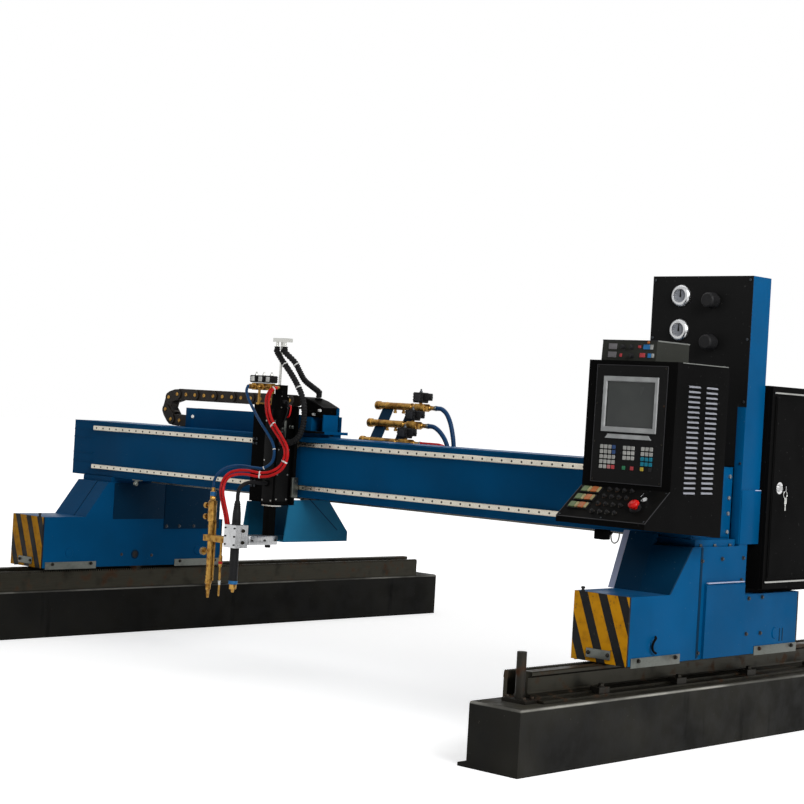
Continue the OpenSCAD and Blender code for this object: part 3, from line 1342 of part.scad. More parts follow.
bed_right();
bed_left();
rails();
rail_clamps();
bed_racks();
end_stops();
truck_right();
truck_left();
bumpers();
scraper_plates();
side_covers();
drive_motors();
front_wheels();
rear_wheels();
drive_pinions();
beam();
guide_rails();
beam_rack();
chain_tray();
drag_chain();
column();
gas_panel();
gauges();
needle_upper();
needle_lower();
regulator_knob_upper();
regulator_knob_lower();
console_shell();
console_fascia();
screen();
keypads();
height_box();
rocker_front();
rocker_middle();
rocker_rear();
estop_button();
key_switch();
cabinet_shell();
electrics_plate();
cabinet_door();
door_lock();
carriage_plate();
guide_blocks();
carriage_bracket();
carriage_motor();
carriage_pinion();
lifter_body();
solenoid_bank();
mast();
junction_box();
conduits();
torch_hoses();
lift_slide();
plasma_torch();
oxy_torch();
valve_knob_upper();
valve_knob_lower();
gas_manifold();
manifold_hoses();
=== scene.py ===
"""Looks of a gantry plasma and oxy-fuel cutting machine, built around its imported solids."""
import math

import bmesh
import bpy
from mathutils import Matrix, Vector


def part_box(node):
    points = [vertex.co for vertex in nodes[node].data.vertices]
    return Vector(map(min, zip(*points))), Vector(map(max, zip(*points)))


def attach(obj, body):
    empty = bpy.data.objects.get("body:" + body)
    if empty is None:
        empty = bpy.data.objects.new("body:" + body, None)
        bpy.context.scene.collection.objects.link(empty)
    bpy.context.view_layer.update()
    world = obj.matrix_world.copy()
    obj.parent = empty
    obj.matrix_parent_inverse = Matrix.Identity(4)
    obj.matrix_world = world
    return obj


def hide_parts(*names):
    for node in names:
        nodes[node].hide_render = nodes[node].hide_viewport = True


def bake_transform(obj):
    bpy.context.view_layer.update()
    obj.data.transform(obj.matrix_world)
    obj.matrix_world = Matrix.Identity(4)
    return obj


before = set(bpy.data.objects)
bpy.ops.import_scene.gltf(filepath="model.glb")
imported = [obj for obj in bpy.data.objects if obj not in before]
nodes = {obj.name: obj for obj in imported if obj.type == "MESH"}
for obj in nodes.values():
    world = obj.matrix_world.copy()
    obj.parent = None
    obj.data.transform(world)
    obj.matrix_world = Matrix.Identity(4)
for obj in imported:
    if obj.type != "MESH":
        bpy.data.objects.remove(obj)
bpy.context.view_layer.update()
scene = bpy.context.scene

# Sizes are in millimetres in the frame's axes; a finished piece is scaled to metres
MM = 0.001
RIGHT, LEFT, FRONT, UP, DOWN = (1, 0, 0), (-1, 0, 0), (0, -1, 0), (0, 0, 1), (0, 0, -1)
HERE = Matrix.Identity(4)
WHITE = (1, 1, 1, 1)


def box_mm(node):
    """Lowest and highest corner of a CAD node, in millimetres."""
    low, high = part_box(node)
    return Vector(low) / MM, Vector(high) / MM


def show(name, data, place=HERE):
    """New object in the scene."""
    item = bpy.data.objects.new(name, data)
    item.matrix_world = place
    scene.collection.objects.link(item)
    return item


# Camera, light and floor, in metres

IMAGE_PX = 804
FOCAL_PX = 1846.8
SENSOR_MM = 36.0
CLIP_FAR = 100
CAMERA_PLACE = Vector((6.5673, -7.5702, 1.3968))
CAMERA_AZIMUTH = math.radians(42.767)
CAMERA_TILT = math.radians(0.202)
CAMERA_ROLL = math.radians(3.321)
AMBIENT = 0.12
FLOOR_HALF = 60.0
FLOOR_LIGHT, FLOOR_DARK = (0.86, 0.86, 0.86, 1), (0.82, 0.82, 0.82, 1)
FLOOR_GLOW = 0.55
FLOOR_FADE = (3.0, 8.0)
# Place, target, width, height and watts of each lamp
LAMPS = {
    "key": ((7.0, -2.8, 4.2), (1.0, -0.5, 0.8), 4.0, 3.2, 380),
    "front": ((1.0, -10.0, 6.0), (0, 0, 0.8), 8.0, 4.0, 50),
    "top": ((-1.0, 2.0, 9.0), (0, 0, 0), 9.0, 9.0, 300),
}


def make_camera():
    """Camera at the photograph's place, turned by azimuth, tilt and roll."""
    flat = Vector((-math.sin(CAMERA_AZIMUTH), math.cos(CAMERA_AZIMUTH), 0))
    ahead = flat * math.cos(CAMERA_TILT) + Vector((0, 0, math.sin(CAMERA_TILT)))
    level = ahead.cross(Vector(UP)).normalized()
    upright = level.cross(ahead)
    right = level * math.cos(CAMERA_ROLL) + upright * math.sin(CAMERA_ROLL)
    up = upright * math.cos(CAMERA_ROLL) - level * math.sin(CAMERA_ROLL)
    data = bpy.data.cameras.new("camera")
    data.sensor_width = SENSOR_MM
    data.lens = FOCAL_PX * SENSOR_MM / IMAGE_PX
    data.clip_end = CLIP_FAR
    turn = Matrix((right, up, -ahead)).transposed().to_4x4()
    scene.camera = show("camera", data, Matrix.Translation(CAMERA_PLACE) @ turn)


def make_lamps():
    """Soft rectangular lamps that face their targets."""
    for name, (place, target, width, height, watts) in LAMPS.items():
        data = bpy.data.lights.new(name, "AREA")
        data.shape = "RECTANGLE"
        data.size = width
        data.size_y = height
        data.energy = watts
        turn = (Vector(target) - Vector(place)).to_track_quat("-Z", "Y")
        show(name, data, Matrix.Translation(place) @ turn.to_matrix().to_4x4())


def seen_plainly(tree):
    """Output that is 1 for camera, glossy and transmission rays."""
    path = tree.nodes.new("ShaderNodeLightPath")
    seen = path.outputs["Is Camera Ray"]
    for ray in ("Is Glossy Ray", "Is Transmission Ray"):
        either = tree.nodes.new("ShaderNodeMath")
        either.operation = "MAXIMUM"
        tree.links.new(seen, either.inputs[0])
        tree.links.new(path.outputs[ray], either.inputs[1])
        seen = either.outputs[0]
    return seen


def make_world():
    """White surround for the camera and reflections, softer grey for the light on surfaces."""
    world = bpy.data.worlds.new("studio")
    scene.world = world
    world.use_nodes = True
    tree = world.node_tree
    level = tree.nodes.new("ShaderNodeMapRange")
    level.inputs["To Min"].default_value = AMBIENT
    level.inputs["To Max"].default_value = 1.0
    tree.links.new(seen_plainly(tree), level.inputs["Value"])
    background = tree.nodes["Background"]
    background.inputs["Color"].default_value = WHITE
    tree.links.new(level.outputs["Result"], background.inputs["Strength"])


def make_floor():
    """Wide pale floor that keeps the machine's shadow."""
    mesh = bpy.data.meshes.new("floor")
    h = FLOOR_HALF
    mesh.from_pydata([(-h, -h, 0), (h, -h, 0), (h, h, 0), (-h, h, 0)], [], [(0, 1, 2, 3)])
    pale = Surface("floor_pale")
    tone = pale.blend(pale.noise(0.6, 3), FLOOR_LIGHT, FLOOR_DARK)
    reach = pale.add("ShaderNodeVectorMath", operation="LENGTH")
    pale.link(pale.place, reach.inputs[0])
    fade = pale.ramp(reach.outputs["Value"], *FLOOR_FADE, FLOOR_GLOW, 1.0)
    pale.shader.inputs["Emission Color"].default_value = WHITE
    pale.link(pale.math("MULTIPLY", seen_plainly(pale.tree), fade), pale.shader.inputs["Emission Strength"])
    mesh.materials.append(pale.done(tone, 0.9))
    show("floor", mesh)


# Materials; patterns are in features per metre

def srgb(red, green, blue, level=1.0):
    """Linear colour of an 8-bit screen colour, times a level."""
    def line(c):
        c /= 255
        return c / 12.92 if c <= 0.04045 else ((c + 0.055) / 1.055) ** 2.4
    return (line(red) * level, line(green) * level, line(blue) * level, 1.0)


def shade(colour, factor):
    """Darker or lighter colour."""
    return tuple(c * factor for c in colour[:3]) + (1.0,)


class Surface:
    """A material whose colour, roughness and bump come from procedural patterns."""

    def __init__(self, name, metallic=0.0, **sockets):
        self.material = bpy.data.materials.new(name)
        self.material.use_nodes = True
        self.tree = self.material.node_tree
        self.shader = self.tree.nodes["Principled BSDF"]
        self.shader.inputs["Metallic"].default_value = metallic
        for socket, value in sockets.items():
            self.shader.inputs[socket.replace("_", " ")].default_value = value
        self.place = self.add("ShaderNodeTexCoord").outputs["Object"]

    def add(self, kind, **settings):
        """New node."""
        node = self.tree.nodes.new(kind)
        for name, value in settings.items():
            setattr(node, name, value)
        return node

    def link(self, source, socket):
        """Links an output to an input."""
        self.tree.links.new(source, socket)

    def feed(self, socket, value):
        """Links a socket or sets a constant."""
        if isinstance(value, bpy.types.NodeSocket):
            self.link(value, socket)
        else:
            socket.default_value = value

    def pattern(self, kind, scale, stretch):
        """Pattern node over the piece, stretched along its axes."""
        mapping = self.add("ShaderNodeMapping")
        mapping.inputs["Scale"].default_value = stretch
        self.link(self.place, mapping.inputs["Vector"])
        node = self.add(kind)
        node.inputs["Scale"].default_value = scale
        self.link(mapping.outputs["Vector"], node.inputs["Vector"])
        return node

    def noise(self, scale, detail=3.0, stretch=(1, 1, 1)):
        """Soft random pattern."""
        node = self.pattern("ShaderNodeTexNoise", scale, stretch)
        node.inputs["Detail"].default_value = detail
        return node.outputs["Fac"]

    def cells(self, scale):
        """Distance to the nearest of many scattered points."""
        return self.pattern("ShaderNodeTexVoronoi", scale, (1, 1, 1)).outputs["Distance"]

    def ramp(self, value, low, high, to_low=0.0, to_high=1.0):
        """Smooth step of a value from one range to another."""
        node = self.add("ShaderNodeMapRange", interpolation_type="SMOOTHSTEP")
        self.link(value, node.inputs["Value"])
        ends = {"From Min": low, "From Max": high, "To Min": to_low, "To Max": to_high}
        for name, number in ends.items():
            node.inputs[name].default_value = number
        return node.outputs["Result"]

    def math(self, operation, first, second=0.0):
        """One step of arithmetic."""
        node = self.add("ShaderNodeMath", operation=operation)
        self.feed(node.inputs[0], first)
        self.feed(node.inputs[1], second)
        return node.outputs[0]

    def blend(self, factor, first, second):
        """Mixes two colours."""
        node = self.add("ShaderNodeMix", data_type="RGBA")
        self.feed(node.inputs["Factor"], factor)
        self.feed(node.inputs[6], first)
        self.feed(node.inputs[7], second)
        return node.outputs[2]

    def patches(self, tone, colour, scale, detail, low, high, strength=1.0, stretch=(1, 1, 1)):
        """Lays a colour over a tone where a soft noise rises from low to high."""
        return self.blend(self.ramp(self.noise(scale, detail, stretch), low, high, 0, strength), tone, colour)

    def part(self, vector, name):
        """One coordinate of a vector."""
        split = self.add("ShaderNodeSeparateXYZ")
        self.link(vector, split.inputs[0])
        return split.outputs[name]

    def axis(self, name):
        """One coordinate of the place on the piece, in metres."""
        return self.part(self.place, name)

    def facing(self, name):
        """One coordinate of the direction in which the surface faces."""
        return self.part(self.add("ShaderNodeNewGeometry").outputs["Normal"], name)

    def upward(self):
        """How far the surface faces up, from 0 to 1."""
        return self.ramp(self.facing("Z"), 0.5, 1.0)

    def bump(self, height, strength, distance):
        """Raises the surface by a pattern; the distance is in metres."""
        node = self.add("ShaderNodeBump")
        node.inputs["Strength"].default_value = strength
        node.inputs["Distance"].default_value = distance
        self.link(height, node.inputs["Height"])
        self.link(node.outputs["Normal"], self.shader.inputs["Normal"])

    def done(self, colour, roughness):
        """Sets colour and roughness and gives the material."""
        self.feed(self.shader.inputs["Base Color"], colour)
        self.feed(self.shader.inputs["Roughness"], roughness)
        return self.material


DUST = srgb(110, 106, 96)
BARE_METAL = srgb(150, 150, 148)
RUST = srgb(92, 58, 36)
RUN_DOWN = (1, 1, 0.18)
DRIPPING = (1, 1, 0.12)
SMEARED = (1, 1, 0.4)
TURNED = (0.1, 1, 1)
# Height of the beds' worn upper edge, in metres
BED_EDGE = (0.252, 0.258)
# Stripes across the bumpers: pitch and shift in metres, slant and yellow share
STRIPE_PITCH = 0.1
STRIPE_SHIFT = 0.086
STRIPE_SLANT = 0.385
STRIPE_YELLOW = 0.55


def paint(name, screen, rough=0.32, dust=0.25, scuffs=0.3, peel=0.12, gloss=0.1):
    """Shop paint: cloudy tone, run-down grime, small chips, dust on what faces up and orange peel."""
    s = Surface(name, Specular_IOR_Level=gloss)
    colour = srgb(*screen)
    tone = s.patches(colour, shade(colour, 0.8), 2.2, 4, 0.35, 0.7)
    tone = s.patches(tone, shade(colour, 0.35), 7, 5, 0.56, 0.8, scuffs, RUN_DOWN)
    tone = s.patches(tone, BARE_METAL, 85, 3, 0.71, 0.74, scuffs)
    settled = s.math("MULTIPLY", s.upward(), s.ramp(s.noise(11, 5), 0.35, 0.75, 0, dust))
    tone = s.blend(settled, tone, DUST)
    s.bump(s.noise(420, 2), peel, 0.0006)
    return s.done(tone, s.ramp(s.noise(5, 4), 0.3, 0.75, rough, rough + 0.18))


def steel(name, screen, rough=0.3, grain=(1, 1, 1), rust=0.0, grime=0.25):
    """Bare steel with a fine grain along one direction, dark grime and some rust."""
    s = Surface(name, metallic=1.0)
    colour = srgb(*screen)
    lines = s.noise(260, 4, grain)
    tone = s.blend(s.ramp(lines, 0.3, 0.7), shade(colour, 0.78), colour)
    tone = s.patches(tone, shade(colour, 0.25), 9, 6, 0.5, 0.75, grime)
    rusty = s.ramp(s.noise(14, 6), 0.55, 0.72, 0, rust)
    tone = s.blend(rusty, tone, RUST)
    s.bump(lines, 0.12, 0.0005)
    return s.done(tone, s.math("ADD", s.ramp(lines, 0.25, 0.75, rough - 0.08, rough + 0.08), rusty))


def plastic(name, screen, rough=0.45, grain=0.15, gloss=0.15):
    """Moulded plastic or rubber with a fine leather-like grain and rubbed lighter patches."""
    s = Surface(name, Specular_IOR_Level=gloss)
    colour = srgb(*screen)
    tone = s.patches(colour, shade(colour, 1.35), 16, 4, 0.4, 0.75)
    tone = s.patches(tone, DUST, 120, 2, 0.68, 0.75, 0.25)
    s.bump(s.cells(900), grain, 0.0004)
    return s.done(tone, s.ramp(s.noise(30, 3), 0.3, 0.7, rough, rough + 0.15))


def bed_plate(name, level=1.0):
    """Dark oiled plate with mill marks, drips, specks of spatter, dust and a worn upper edge."""
    s = Surface(name, Specular_IOR_Level=0.05)
    tone = s.patches(srgb(25, 25, 24, level), srgb(44, 43, 39, level), 3, 6, 0.3, 0.75)
    tone = s.patches(tone, srgb(14, 14, 13, level), 10, 4, 0.6, 0.72, 0.8, DRIPPING)
    specks = s.ramp(s.cells(38), 0.0, 0.11, 0.75, 0)
    specks = s.math("MULTIPLY", specks, s.ramp(s.noise(6, 3), 0.5, 0.6))
    tone = s.blend(specks, tone, srgb(92, 88, 78, level))
    settled = s.math("MULTIPLY", s.upward(), s.ramp(s.noise(8, 6), 0.3, 0.7, 0.1, 0.6))
    tone = s.blend(settled, tone, srgb(50, 47, 38, level))
    worn = s.math("MULTIPLY", s.ramp(s.axis("Z"), *BED_EDGE), s.ramp(s.noise(2.5, 4), 0.35, 0.65, 0.2, 1))
    worn = s.math("MULTIPLY", worn, s.math("SUBTRACT", 1.0, s.upward()))
    tone = s.blend(worn, tone, srgb(170, 168, 160, level))
    s.bump(s.noise(55, 7), 0.3, 0.0015)
    return s.done(tone, s.ramp(s.noise(12, 5), 0.3, 0.7, 0.42, 0.75))


def hazard(name):
    """Slanted yellow and black stripes across the bumper, rubbed at random, with black rims."""
    s = Surface(name, Specular_IOR_Level=0.12)
    run = s.math("ADD", s.axis("X"), s.math("MULTIPLY", s.axis("Z"), STRIPE_SLANT))
    phase = s.math("FRACT", s.math("DIVIDE", s.math("SUBTRACT", run, STRIPE_SHIFT), STRIPE_PITCH))
    rim = s.math("LESS_THAN", s.math("ABSOLUTE", s.facing("Y")), 0.5)
    dark = s.math("MAXIMUM", s.math("GREATER_THAN", phase, STRIPE_YELLOW), rim)
    yellow = s.patches(srgb(206, 144, 10), srgb(180, 120, 8), 30, 5, 0.4, 0.75)
    tone = s.blend(dark, yellow, srgb(18, 18, 19))
    tone = s.patches(tone, srgb(60, 56, 50), 60, 5, 0.64, 0.72, 0.6)
    s.bump(s.noise(300, 2), 0.1, 0.0006)
    return s.done(tone, s.ramp(s.noise(20, 4), 0.3, 0.7, 0.35, 0.6))


def brass(name, rough=0.28, level=0.7):
    """Turned brass with fine turning lines and brown tarnish."""
    s = Surface(name, metallic=1.0)
    tone = s.patches(srgb(206, 160, 82, level), srgb(140, 96, 44, level), 40, 4, 0.4, 0.7)
    tone = s.patches(tone, srgb(74, 50, 30, level), 18, 5, 0.55, 0.75, 0.8)
    s.bump(s.noise(500, 2, TURNED), 0.15, 0.0003)
    return s.done(tone, s.ramp(s.noise(35, 3), 0.3, 0.7, rough, rough + 0.2))


def display(name):
    """Unlit flat screen: grey-green panel behind a smooth glossy front."""
    s = Surface(name, Specular_IOR_Level=0.2, Coat_Weight=0.15, Coat_Roughness=0.1)
    tone = s.patches(srgb(50, 53, 52), srgb(60, 63, 61), 5, 2, 0.3, 0.7)
    return s.done(tone, s.ramp(s.noise(22, 5, SMEARED), 0.5, 0.8, 0.16, 0.34))


# Mesh building

SHARP_ANGLE = math.radians(35)
LEAST_RADIUS = 0.01


def aim(origin, axis):
    """Frame at a place whose local Z points along an axis."""
    turn = Vector(UP).rotation_difference(Vector(axis)).to_matrix().to_4x4()
    return Matrix.Translation(origin) @ turn


def on(plane, u, v, out=0.0):
    """Frame at a place on a plane, some way out from it."""
    return plane @ Matrix.Translation((u, v, out))


def grid(axis, xs, ys, zs):
    """Frames along an axis at every meeting of some X, Y and Z places."""
    return [aim((x, y, z), axis) for x in xs for y in ys for z in zs]


def smooth_path(points, steps=6):
    """Catmull-Rom curve through given points."""
    pts = [Vector(p) for p in points]
    path = []
    for i in range(len(pts) - 1):
        a, b = pts[max(i - 1, 0)], pts[i]
        c, d = pts[i + 1], pts[min(i + 2, len(pts) - 1)]
        for k in range(steps):
            t = k / steps
            path.append(0.5 * (2 * b + (c - a) * t + (2 * a - 5 * b + 4 * c - d) * t * t
                               + (3 * b - a - 3 * c + d) * t ** 3))
    path.append(pts[-1])
    return path


def circle(radius, height, sides):
    """Ring of points about local Z."""
    turns = [2 * math.pi * k / sides for k in range(sides)]
    return [(radius * math.cos(a), radius * math.sin(a), height) for a in turns]


def arc(centre, radius, start, end, count):
    """Points of an arc in degrees, both ends included."""
    angles = [math.radians(start + (end - start) * i / count) for i in range(count + 1)]
    return [(centre[0] + radius * math.cos(a), centre[1] + radius * math.sin(a)) for a in angles]


def round_rectangle(half_w, half_h, radius, count=4):
    """Outline with round corners about the origin."""
    corners = ((1, 1, 0), (-1, 1, 90), (-1, -1, 180), (1, -1, 270))
    return [p for sx, sy, a in corners
            for p in arc((sx * (half_w - radius), sy * (half_h - radius)), radius, a, a + 90, count)]


def rectangle(half, height):
    """Four corners about local Z."""
    return [(sx * half[0], sy * half[1], height) for sx, sy in ((-1, -1), (1, -1), (1, 1), (-1, 1))]


class Build:
    """Collects the solids of one piece, in millimetres; each solid's call gives the build back."""

    def __init__(self):
        self.mesh = bmesh.new()

    def loft(self, rings, place=HERE, caps=True):
        """Skin over rings with the same number of points, closed by caps at both ends."""
        n = len(rings[0])
        last = len(rings) - 1
        made = [self.mesh.verts.new(place @ Vector(p)) for ring in rings for p in ring]
        faces = [(r * n + k, r * n + (k + 1) % n, (r + 1) * n + (k + 1) % n, (r + 1) * n + k)
                 for r in range(last) for k in range(n)]
        if caps:
            faces.append(range(n - 1, -1, -1))
            faces.append(range(last * n, last * n + n))
        for face in faces:
            self.mesh.faces.new([made[i] for i in face])
        return self

    def hoop(self, rings, place=HERE):
        """Skin over rings that comes back to the first one."""
        return self.loft(rings + rings[:1], place, caps=False)

    def washer(self, outer, inner, low, high, place, sides=40):
        """Flat ring with square edges."""
        corners = ((outer, low), (outer, high), (inner, high), (inner, low))
        return self.hoop([circle(r, z, sides) for r, z in corners], place)

    def prism(self, outline, depth, place=HERE, edge=0.0):
        """Outline in local X and Y drawn out along local Z, with small chamfers at both rims."""
        cx = sum(p[0] for p in outline) / len(outline)
        cy = sum(p[1] for p in outline) / len(outline)
        reach = max(math.hypot(p[0] - cx, p[1] - cy) for p in outline)
        near = 1 - edge / reach
        small = [(cx + (p[0] - cx) * near, cy + (p[1] - cy) * near) for p in outline]
        layers = ((small, 0), (outline, edge), (outline, depth - edge), (small, depth))
        if not edge:
            layers = ((outline, 0), (outline, depth))
        return self.loft([[(x, y, z) for x, y in ring] for ring, z in layers], place)

    def box(self, first, second, edge=1.0, place=HERE):
        """Box between two opposite corners, with rounded upright edges and chamfered rims."""
        low, high = Vector(map(min, first, second)), Vector(map(max, first, second))
        half = (high - low) / 2
        middle = place @ Matrix.Translation((low.x + half.x, low.y + half.y, low.z))
        radius = min(edge, half.x * 0.9, half.y * 0.9)
        outline = round_rectangle(half.x, half.y, radius, 3)
        return self.prism(outline, half.z * 2, middle, min(edge, half.z * 0.9))

    def boxes(self, pairs, edge=1.0):
        """Boxes between pairs of opposite corners."""
        for first, second in pairs:
            self.box(first, second, edge)
        return self

    def lathe(self, profile, place=HERE, sides=24):
        """Profile of radius and height turned about local Z."""
        return self.loft([circle(max(r, LEAST_RADIUS), h, sides) for r, h in profile], place)

    def tube(self, path, radius, sides=12):
        """Round bar along a path; radius is a number or one for each point."""
        path = [Vector(p) for p in path]
        radii = radius if isinstance(radius, list) else [radius] * len(path)
        side = (path[1] - path[0]).normalized().orthogonal().normalized()
        rings = []
        for i, point in enumerate(path):
            turn = (path[min(i + 1, len(path) - 1)] - path[max(i - 1, 0)]).normalized()
            side = (side - turn * side.dot(turn)).normalized()
            over = turn.cross(side)
            rings.append([point + side * x + over * y for x, y, _ in circle(radii[i], 0, sides)])
        return self.loft(rings)

    def hex_bolt(self, place, across=17.0, high=9.0, washer=True):
        """Hexagon head with its chamfer and a washer, standing on local Z."""
        base = 2.0 if washer else 0.0
        if washer:
            self.lathe([(across * 0.75, 0), (across * 0.75, 1.6), (across * 0.7, base)], place, 16)
        corner = across / math.sqrt(3)
        head = [(corner, base), (corner, base + high * 0.8), (corner * 0.86, base + high)]
        return self.lathe(head, place, 6)

    def cap_screw(self, place, head=10.0, high=6.0):
        """Round socket screw head with a sunk hexagon."""
        r = head / 2
        rim = [(r, 0), (r, high * 0.8), (r * 0.85, high), (r * 0.5, high)]
        return self.lathe(rim + [(r * 0.45, high * 0.4), (0, high * 0.4)], place, 12)

    def many(self, solid, places, *sizes):
        """The same bolt or screw on each of many frames."""
        for place in places:
            solid(self, place, *sizes)
        return self

    def done(self, name, material, slot, body="gantry", replaces=()):
        """Turns the solids into a piece that rides on a body, or on none yet."""
        bmesh.ops.recalc_face_normals(self.mesh, faces=self.mesh.faces)
        bmesh.ops.scale(self.mesh, vec=(MM, MM, MM), verts=self.mesh.verts)
        mesh = bpy.data.meshes.new(name)
        self.mesh.to_mesh(mesh)
        self.mesh.free()
        for face in mesh.polygons:
            face.use_smooth = True
        mesh.set_sharp_from_angle(angle=SHARP_ANGLE)
        mesh.materials.append(material)
        piece = show(name, mesh)
        if body:
            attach(piece, body)
        if replaces:
            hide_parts(*replaces)
        return piece


# Surfaces of the machine, with their screen colours

blue = paint("blue_paint", (2, 80, 128), 0.3, 0.12, 0.12, gloss=0.03)
black = paint("black_paint", (12, 12, 12), 0.42, 0.04, 0.1, 0.3, 0.01)
panel_black = paint("panel_black", (22, 22, 22), 0.42, 0.08, 0.1, 0.2, 0.05)
beds = bed_plate("bed_plate")
# The left bed takes a darker copy of the same plate: painted shade
bed_shade = bed_plate("bed_shade", 0.65)
rail_steel = steel("rail_steel", (52, 50, 43), 0.46, (1, 0.04, 1), rust=0.3, grime=0.7)
dark_iron = steel("dark_iron", (46, 44, 40), 0.5, rust=0.5, grime=0.6)
ground_steel = steel("ground_steel", (196, 190, 176), 0.26, (0.03, 1, 1), rust=0.05, grime=0.2)
turned_steel = steel("turned_steel", (150, 147, 140), 0.32, (1, 0.1, 1), rust=0.12, grime=0.4)
zinc = steel("zinc", (176, 176, 172), 0.36, (0.3, 1, 1), grime=0.35)
bright_zinc = steel("bright_zinc", (205, 205, 200), 0.24, grime=0.1)
aluminium = steel("aluminium", (200, 201, 202), 0.3, (1, 1, 0.1), grime=0.15)
chrome = steel("chrome", (222, 222, 222), 0.1, grime=0.05)
brass_turned = brass("brass_turned")
black_plastic = plastic("black_plastic", (22, 22, 23))
rubber = plastic("rubber", (16, 16, 17), 0.6, 0.25)
motor_black = paint("motor_black", (26, 26, 28), 0.5, 0.2, 0.2, 0.4)
grey_plastic = plastic("grey_plastic", (158, 158, 154), 0.4)
white_enamel = plastic("white_enamel", (225, 226, 222), 0.35, 0.05)
red_plastic = plastic("red_plastic", (182, 20, 16), 0.25, 0.05)
green_plastic = plastic("green_plastic", (76, 92, 54), 0.3, 0.08)
orange_plastic = plastic("orange_plastic", (150, 82, 36), 0.3, 0.08)
yellow_plastic = plastic("yellow_plastic", (180, 158, 60), 0.35, 0.08)
cyan_plastic = plastic("cyan_plastic", (26, 116, 138), 0.35, 0.08)
blue_plastic = plastic("blue_plastic", (48, 74, 118), 0.35, 0.08)
red_hose = plastic("red_hose", (190, 22, 24), 0.28, 0.06)
blue_hose = plastic("blue_hose", (14, 58, 98), 0.35, 0.08)
stripes = hazard("hazard_stripes")
lcd = display("lcd_panel")
chain_bronze = plastic("chain_bronze", (34, 28, 22), 0.4, 0.2)
# Pale blue for strips along lit edges: painted highlight
painted_highlight_blue = paint("painted_highlight_blue", (176, 184, 212), 0.35, 0.2, 0.2)
bezel_grey = plastic("bezel_grey", (150, 152, 152), 0.4, 0.06)
fascia_edge = paint("fascia_edge", (44, 44, 46), 0.4, 0.1, 0.15, 0.2)
# Light grey for the black console's louvre hoods: painted highlight of the light from above
louvre_highlight_grey = paint("louvre_highlight_grey", (150, 152, 160), 0.35, 0.2, 0.15)
cream_plastic = plastic("cream_plastic", (138, 126, 88), 0.35, 0.06)
pink_plastic = plastic("pink_plastic", (166, 108, 108), 0.35, 0.06)
green_key = plastic("green_key", (44, 112, 78), 0.35, 0.06)
sky_plastic = plastic("sky_plastic", (42, 104, 156), 0.35, 0.06)
dial_grey = plastic("dial_grey", (140, 143, 150), 0.35, 0.05)
# Pale grey for thin strips along the upper edges of the console and its height box
edge_pale_grey = paint("edge_pale_grey", (120, 122, 118), 0.4, 0.1, 0.3)
display_grey = plastic("display_grey", (108, 106, 108), 0.4, 0.06)
dull_red = plastic("dull_red", (168, 62, 66), 0.35, 0.06)
pale_key = plastic("pale_key", (150, 152, 150), 0.35, 0.06)
box_grey = paint("box_grey", (50, 51, 47), 0.4, 0.1, 0.15, 0.2, 0.05)
# Lighter copy of the blue paint for the carriage bracket: painted light on its lit face
bracket_lit_blue = paint("bracket_lit_blue", (36, 116, 154), 0.3, 0.15, 0.15, gloss=0.05)
# Darker blue: painted shade on the pedestal fronts, the left drive cover, the strips beside the side covers
# and the truck slots; elsewhere simply a darker blue
dark_blue = paint("dark_blue", (4, 44, 70), 0.35, 0.2, 0.25, gloss=0.04)
bolt_steel = steel("bolt_steel", (66, 70, 74), 0.4, rust=0.1, grime=0.5)
dull_zinc = steel("dull_zinc", (104, 107, 102), 0.42, (1, 0.2, 1), rust=0.1, grime=0.6)
brass_aged = brass("brass_aged", 0.34, 0.62)
copper = brass("copper_tip", 0.3, 0.8)
dark_grey = plastic("dark_grey", (52, 52, 54), 0.5, 0.1)

NODE_FINISH = {
    beds: ["bed_right"],
    bed_shade: ["bed_left"],
    rail_steel: ["rails", "bed_racks"],
    dark_iron: ["rail_clamps", "end_stops", "drive_pinions"],
    blue: ["truck_right", "truck_left", "side_covers", "beam", "column", "chain_tray"],
    bracket_lit_blue: ["carriage_bracket"],
    stripes: ["bumpers"],
    zinc: ["scraper_plates", "electrics_plate"],
    turned_steel: ["front_wheels", "rear_wheels", "beam_rack", "guide_blocks", "carriage_pinion"],
    ground_steel: ["guide_rails"],
    bright_zinc: ["mast"],
    motor_black: ["drive_motors", "carriage_motor"],
    black: ["console_shell", "cabinet_shell", "cabinet_door", "carriage_plate", "lifter_body",
            "junction_box"],
    panel_black: ["gas_panel", "console_fascia"],
    box_grey: ["height_box"],
    black_plastic: ["drag_chain", "regulator_knob_upper", "regulator_knob_lower", "needle_upper",
                    "needle_lower", "plasma_torch", "rocker_front", "rocker_middle", "rocker_rear"],
    chrome: ["gauges", "key_switch", "door_lock"],
    lcd: ["screen"],
    grey_plastic: ["keypads"],
    red_plastic: ["estop_button"],
    brass_turned: ["solenoid_bank", "oxy_torch", "gas_manifold", "valve_knob_upper", "valve_knob_lower"],
    rubber: ["conduits"],
    red_hose: ["torch_hoses"],
    blue_hose: ["manifold_hoses"],
    aluminium: ["lift_slide"],
}


def dress_nodes():
    """Gives each CAD node its finish."""
    for material, names in NODE_FINISH.items():
        for name in names:
            mesh = nodes[name].data
            mesh.materials.clear()
            mesh.materials.append(material)


scene.view_settings.view_transform = "Standard"
make_camera()
make_world()
make_floor()
make_lamps()
dress_nodes()


# Hoses and conduits, along the same points as their solids

CARRIAGE_PLACE = Vector((-488, -916, 1375))
TORCH_Y = -1205
BAR_HOSE_Z = 709.3
MAST_Y = -932
MAST_END_Z = 1682.7
HOSE_D = 15
LEAD_D = 20
CONDUIT_D = 32
GAS_HOSE_D = 24
RIB_STEP = 2.5
RIB_WAVE = (0.0, 0.0, -2.8, -2.8)
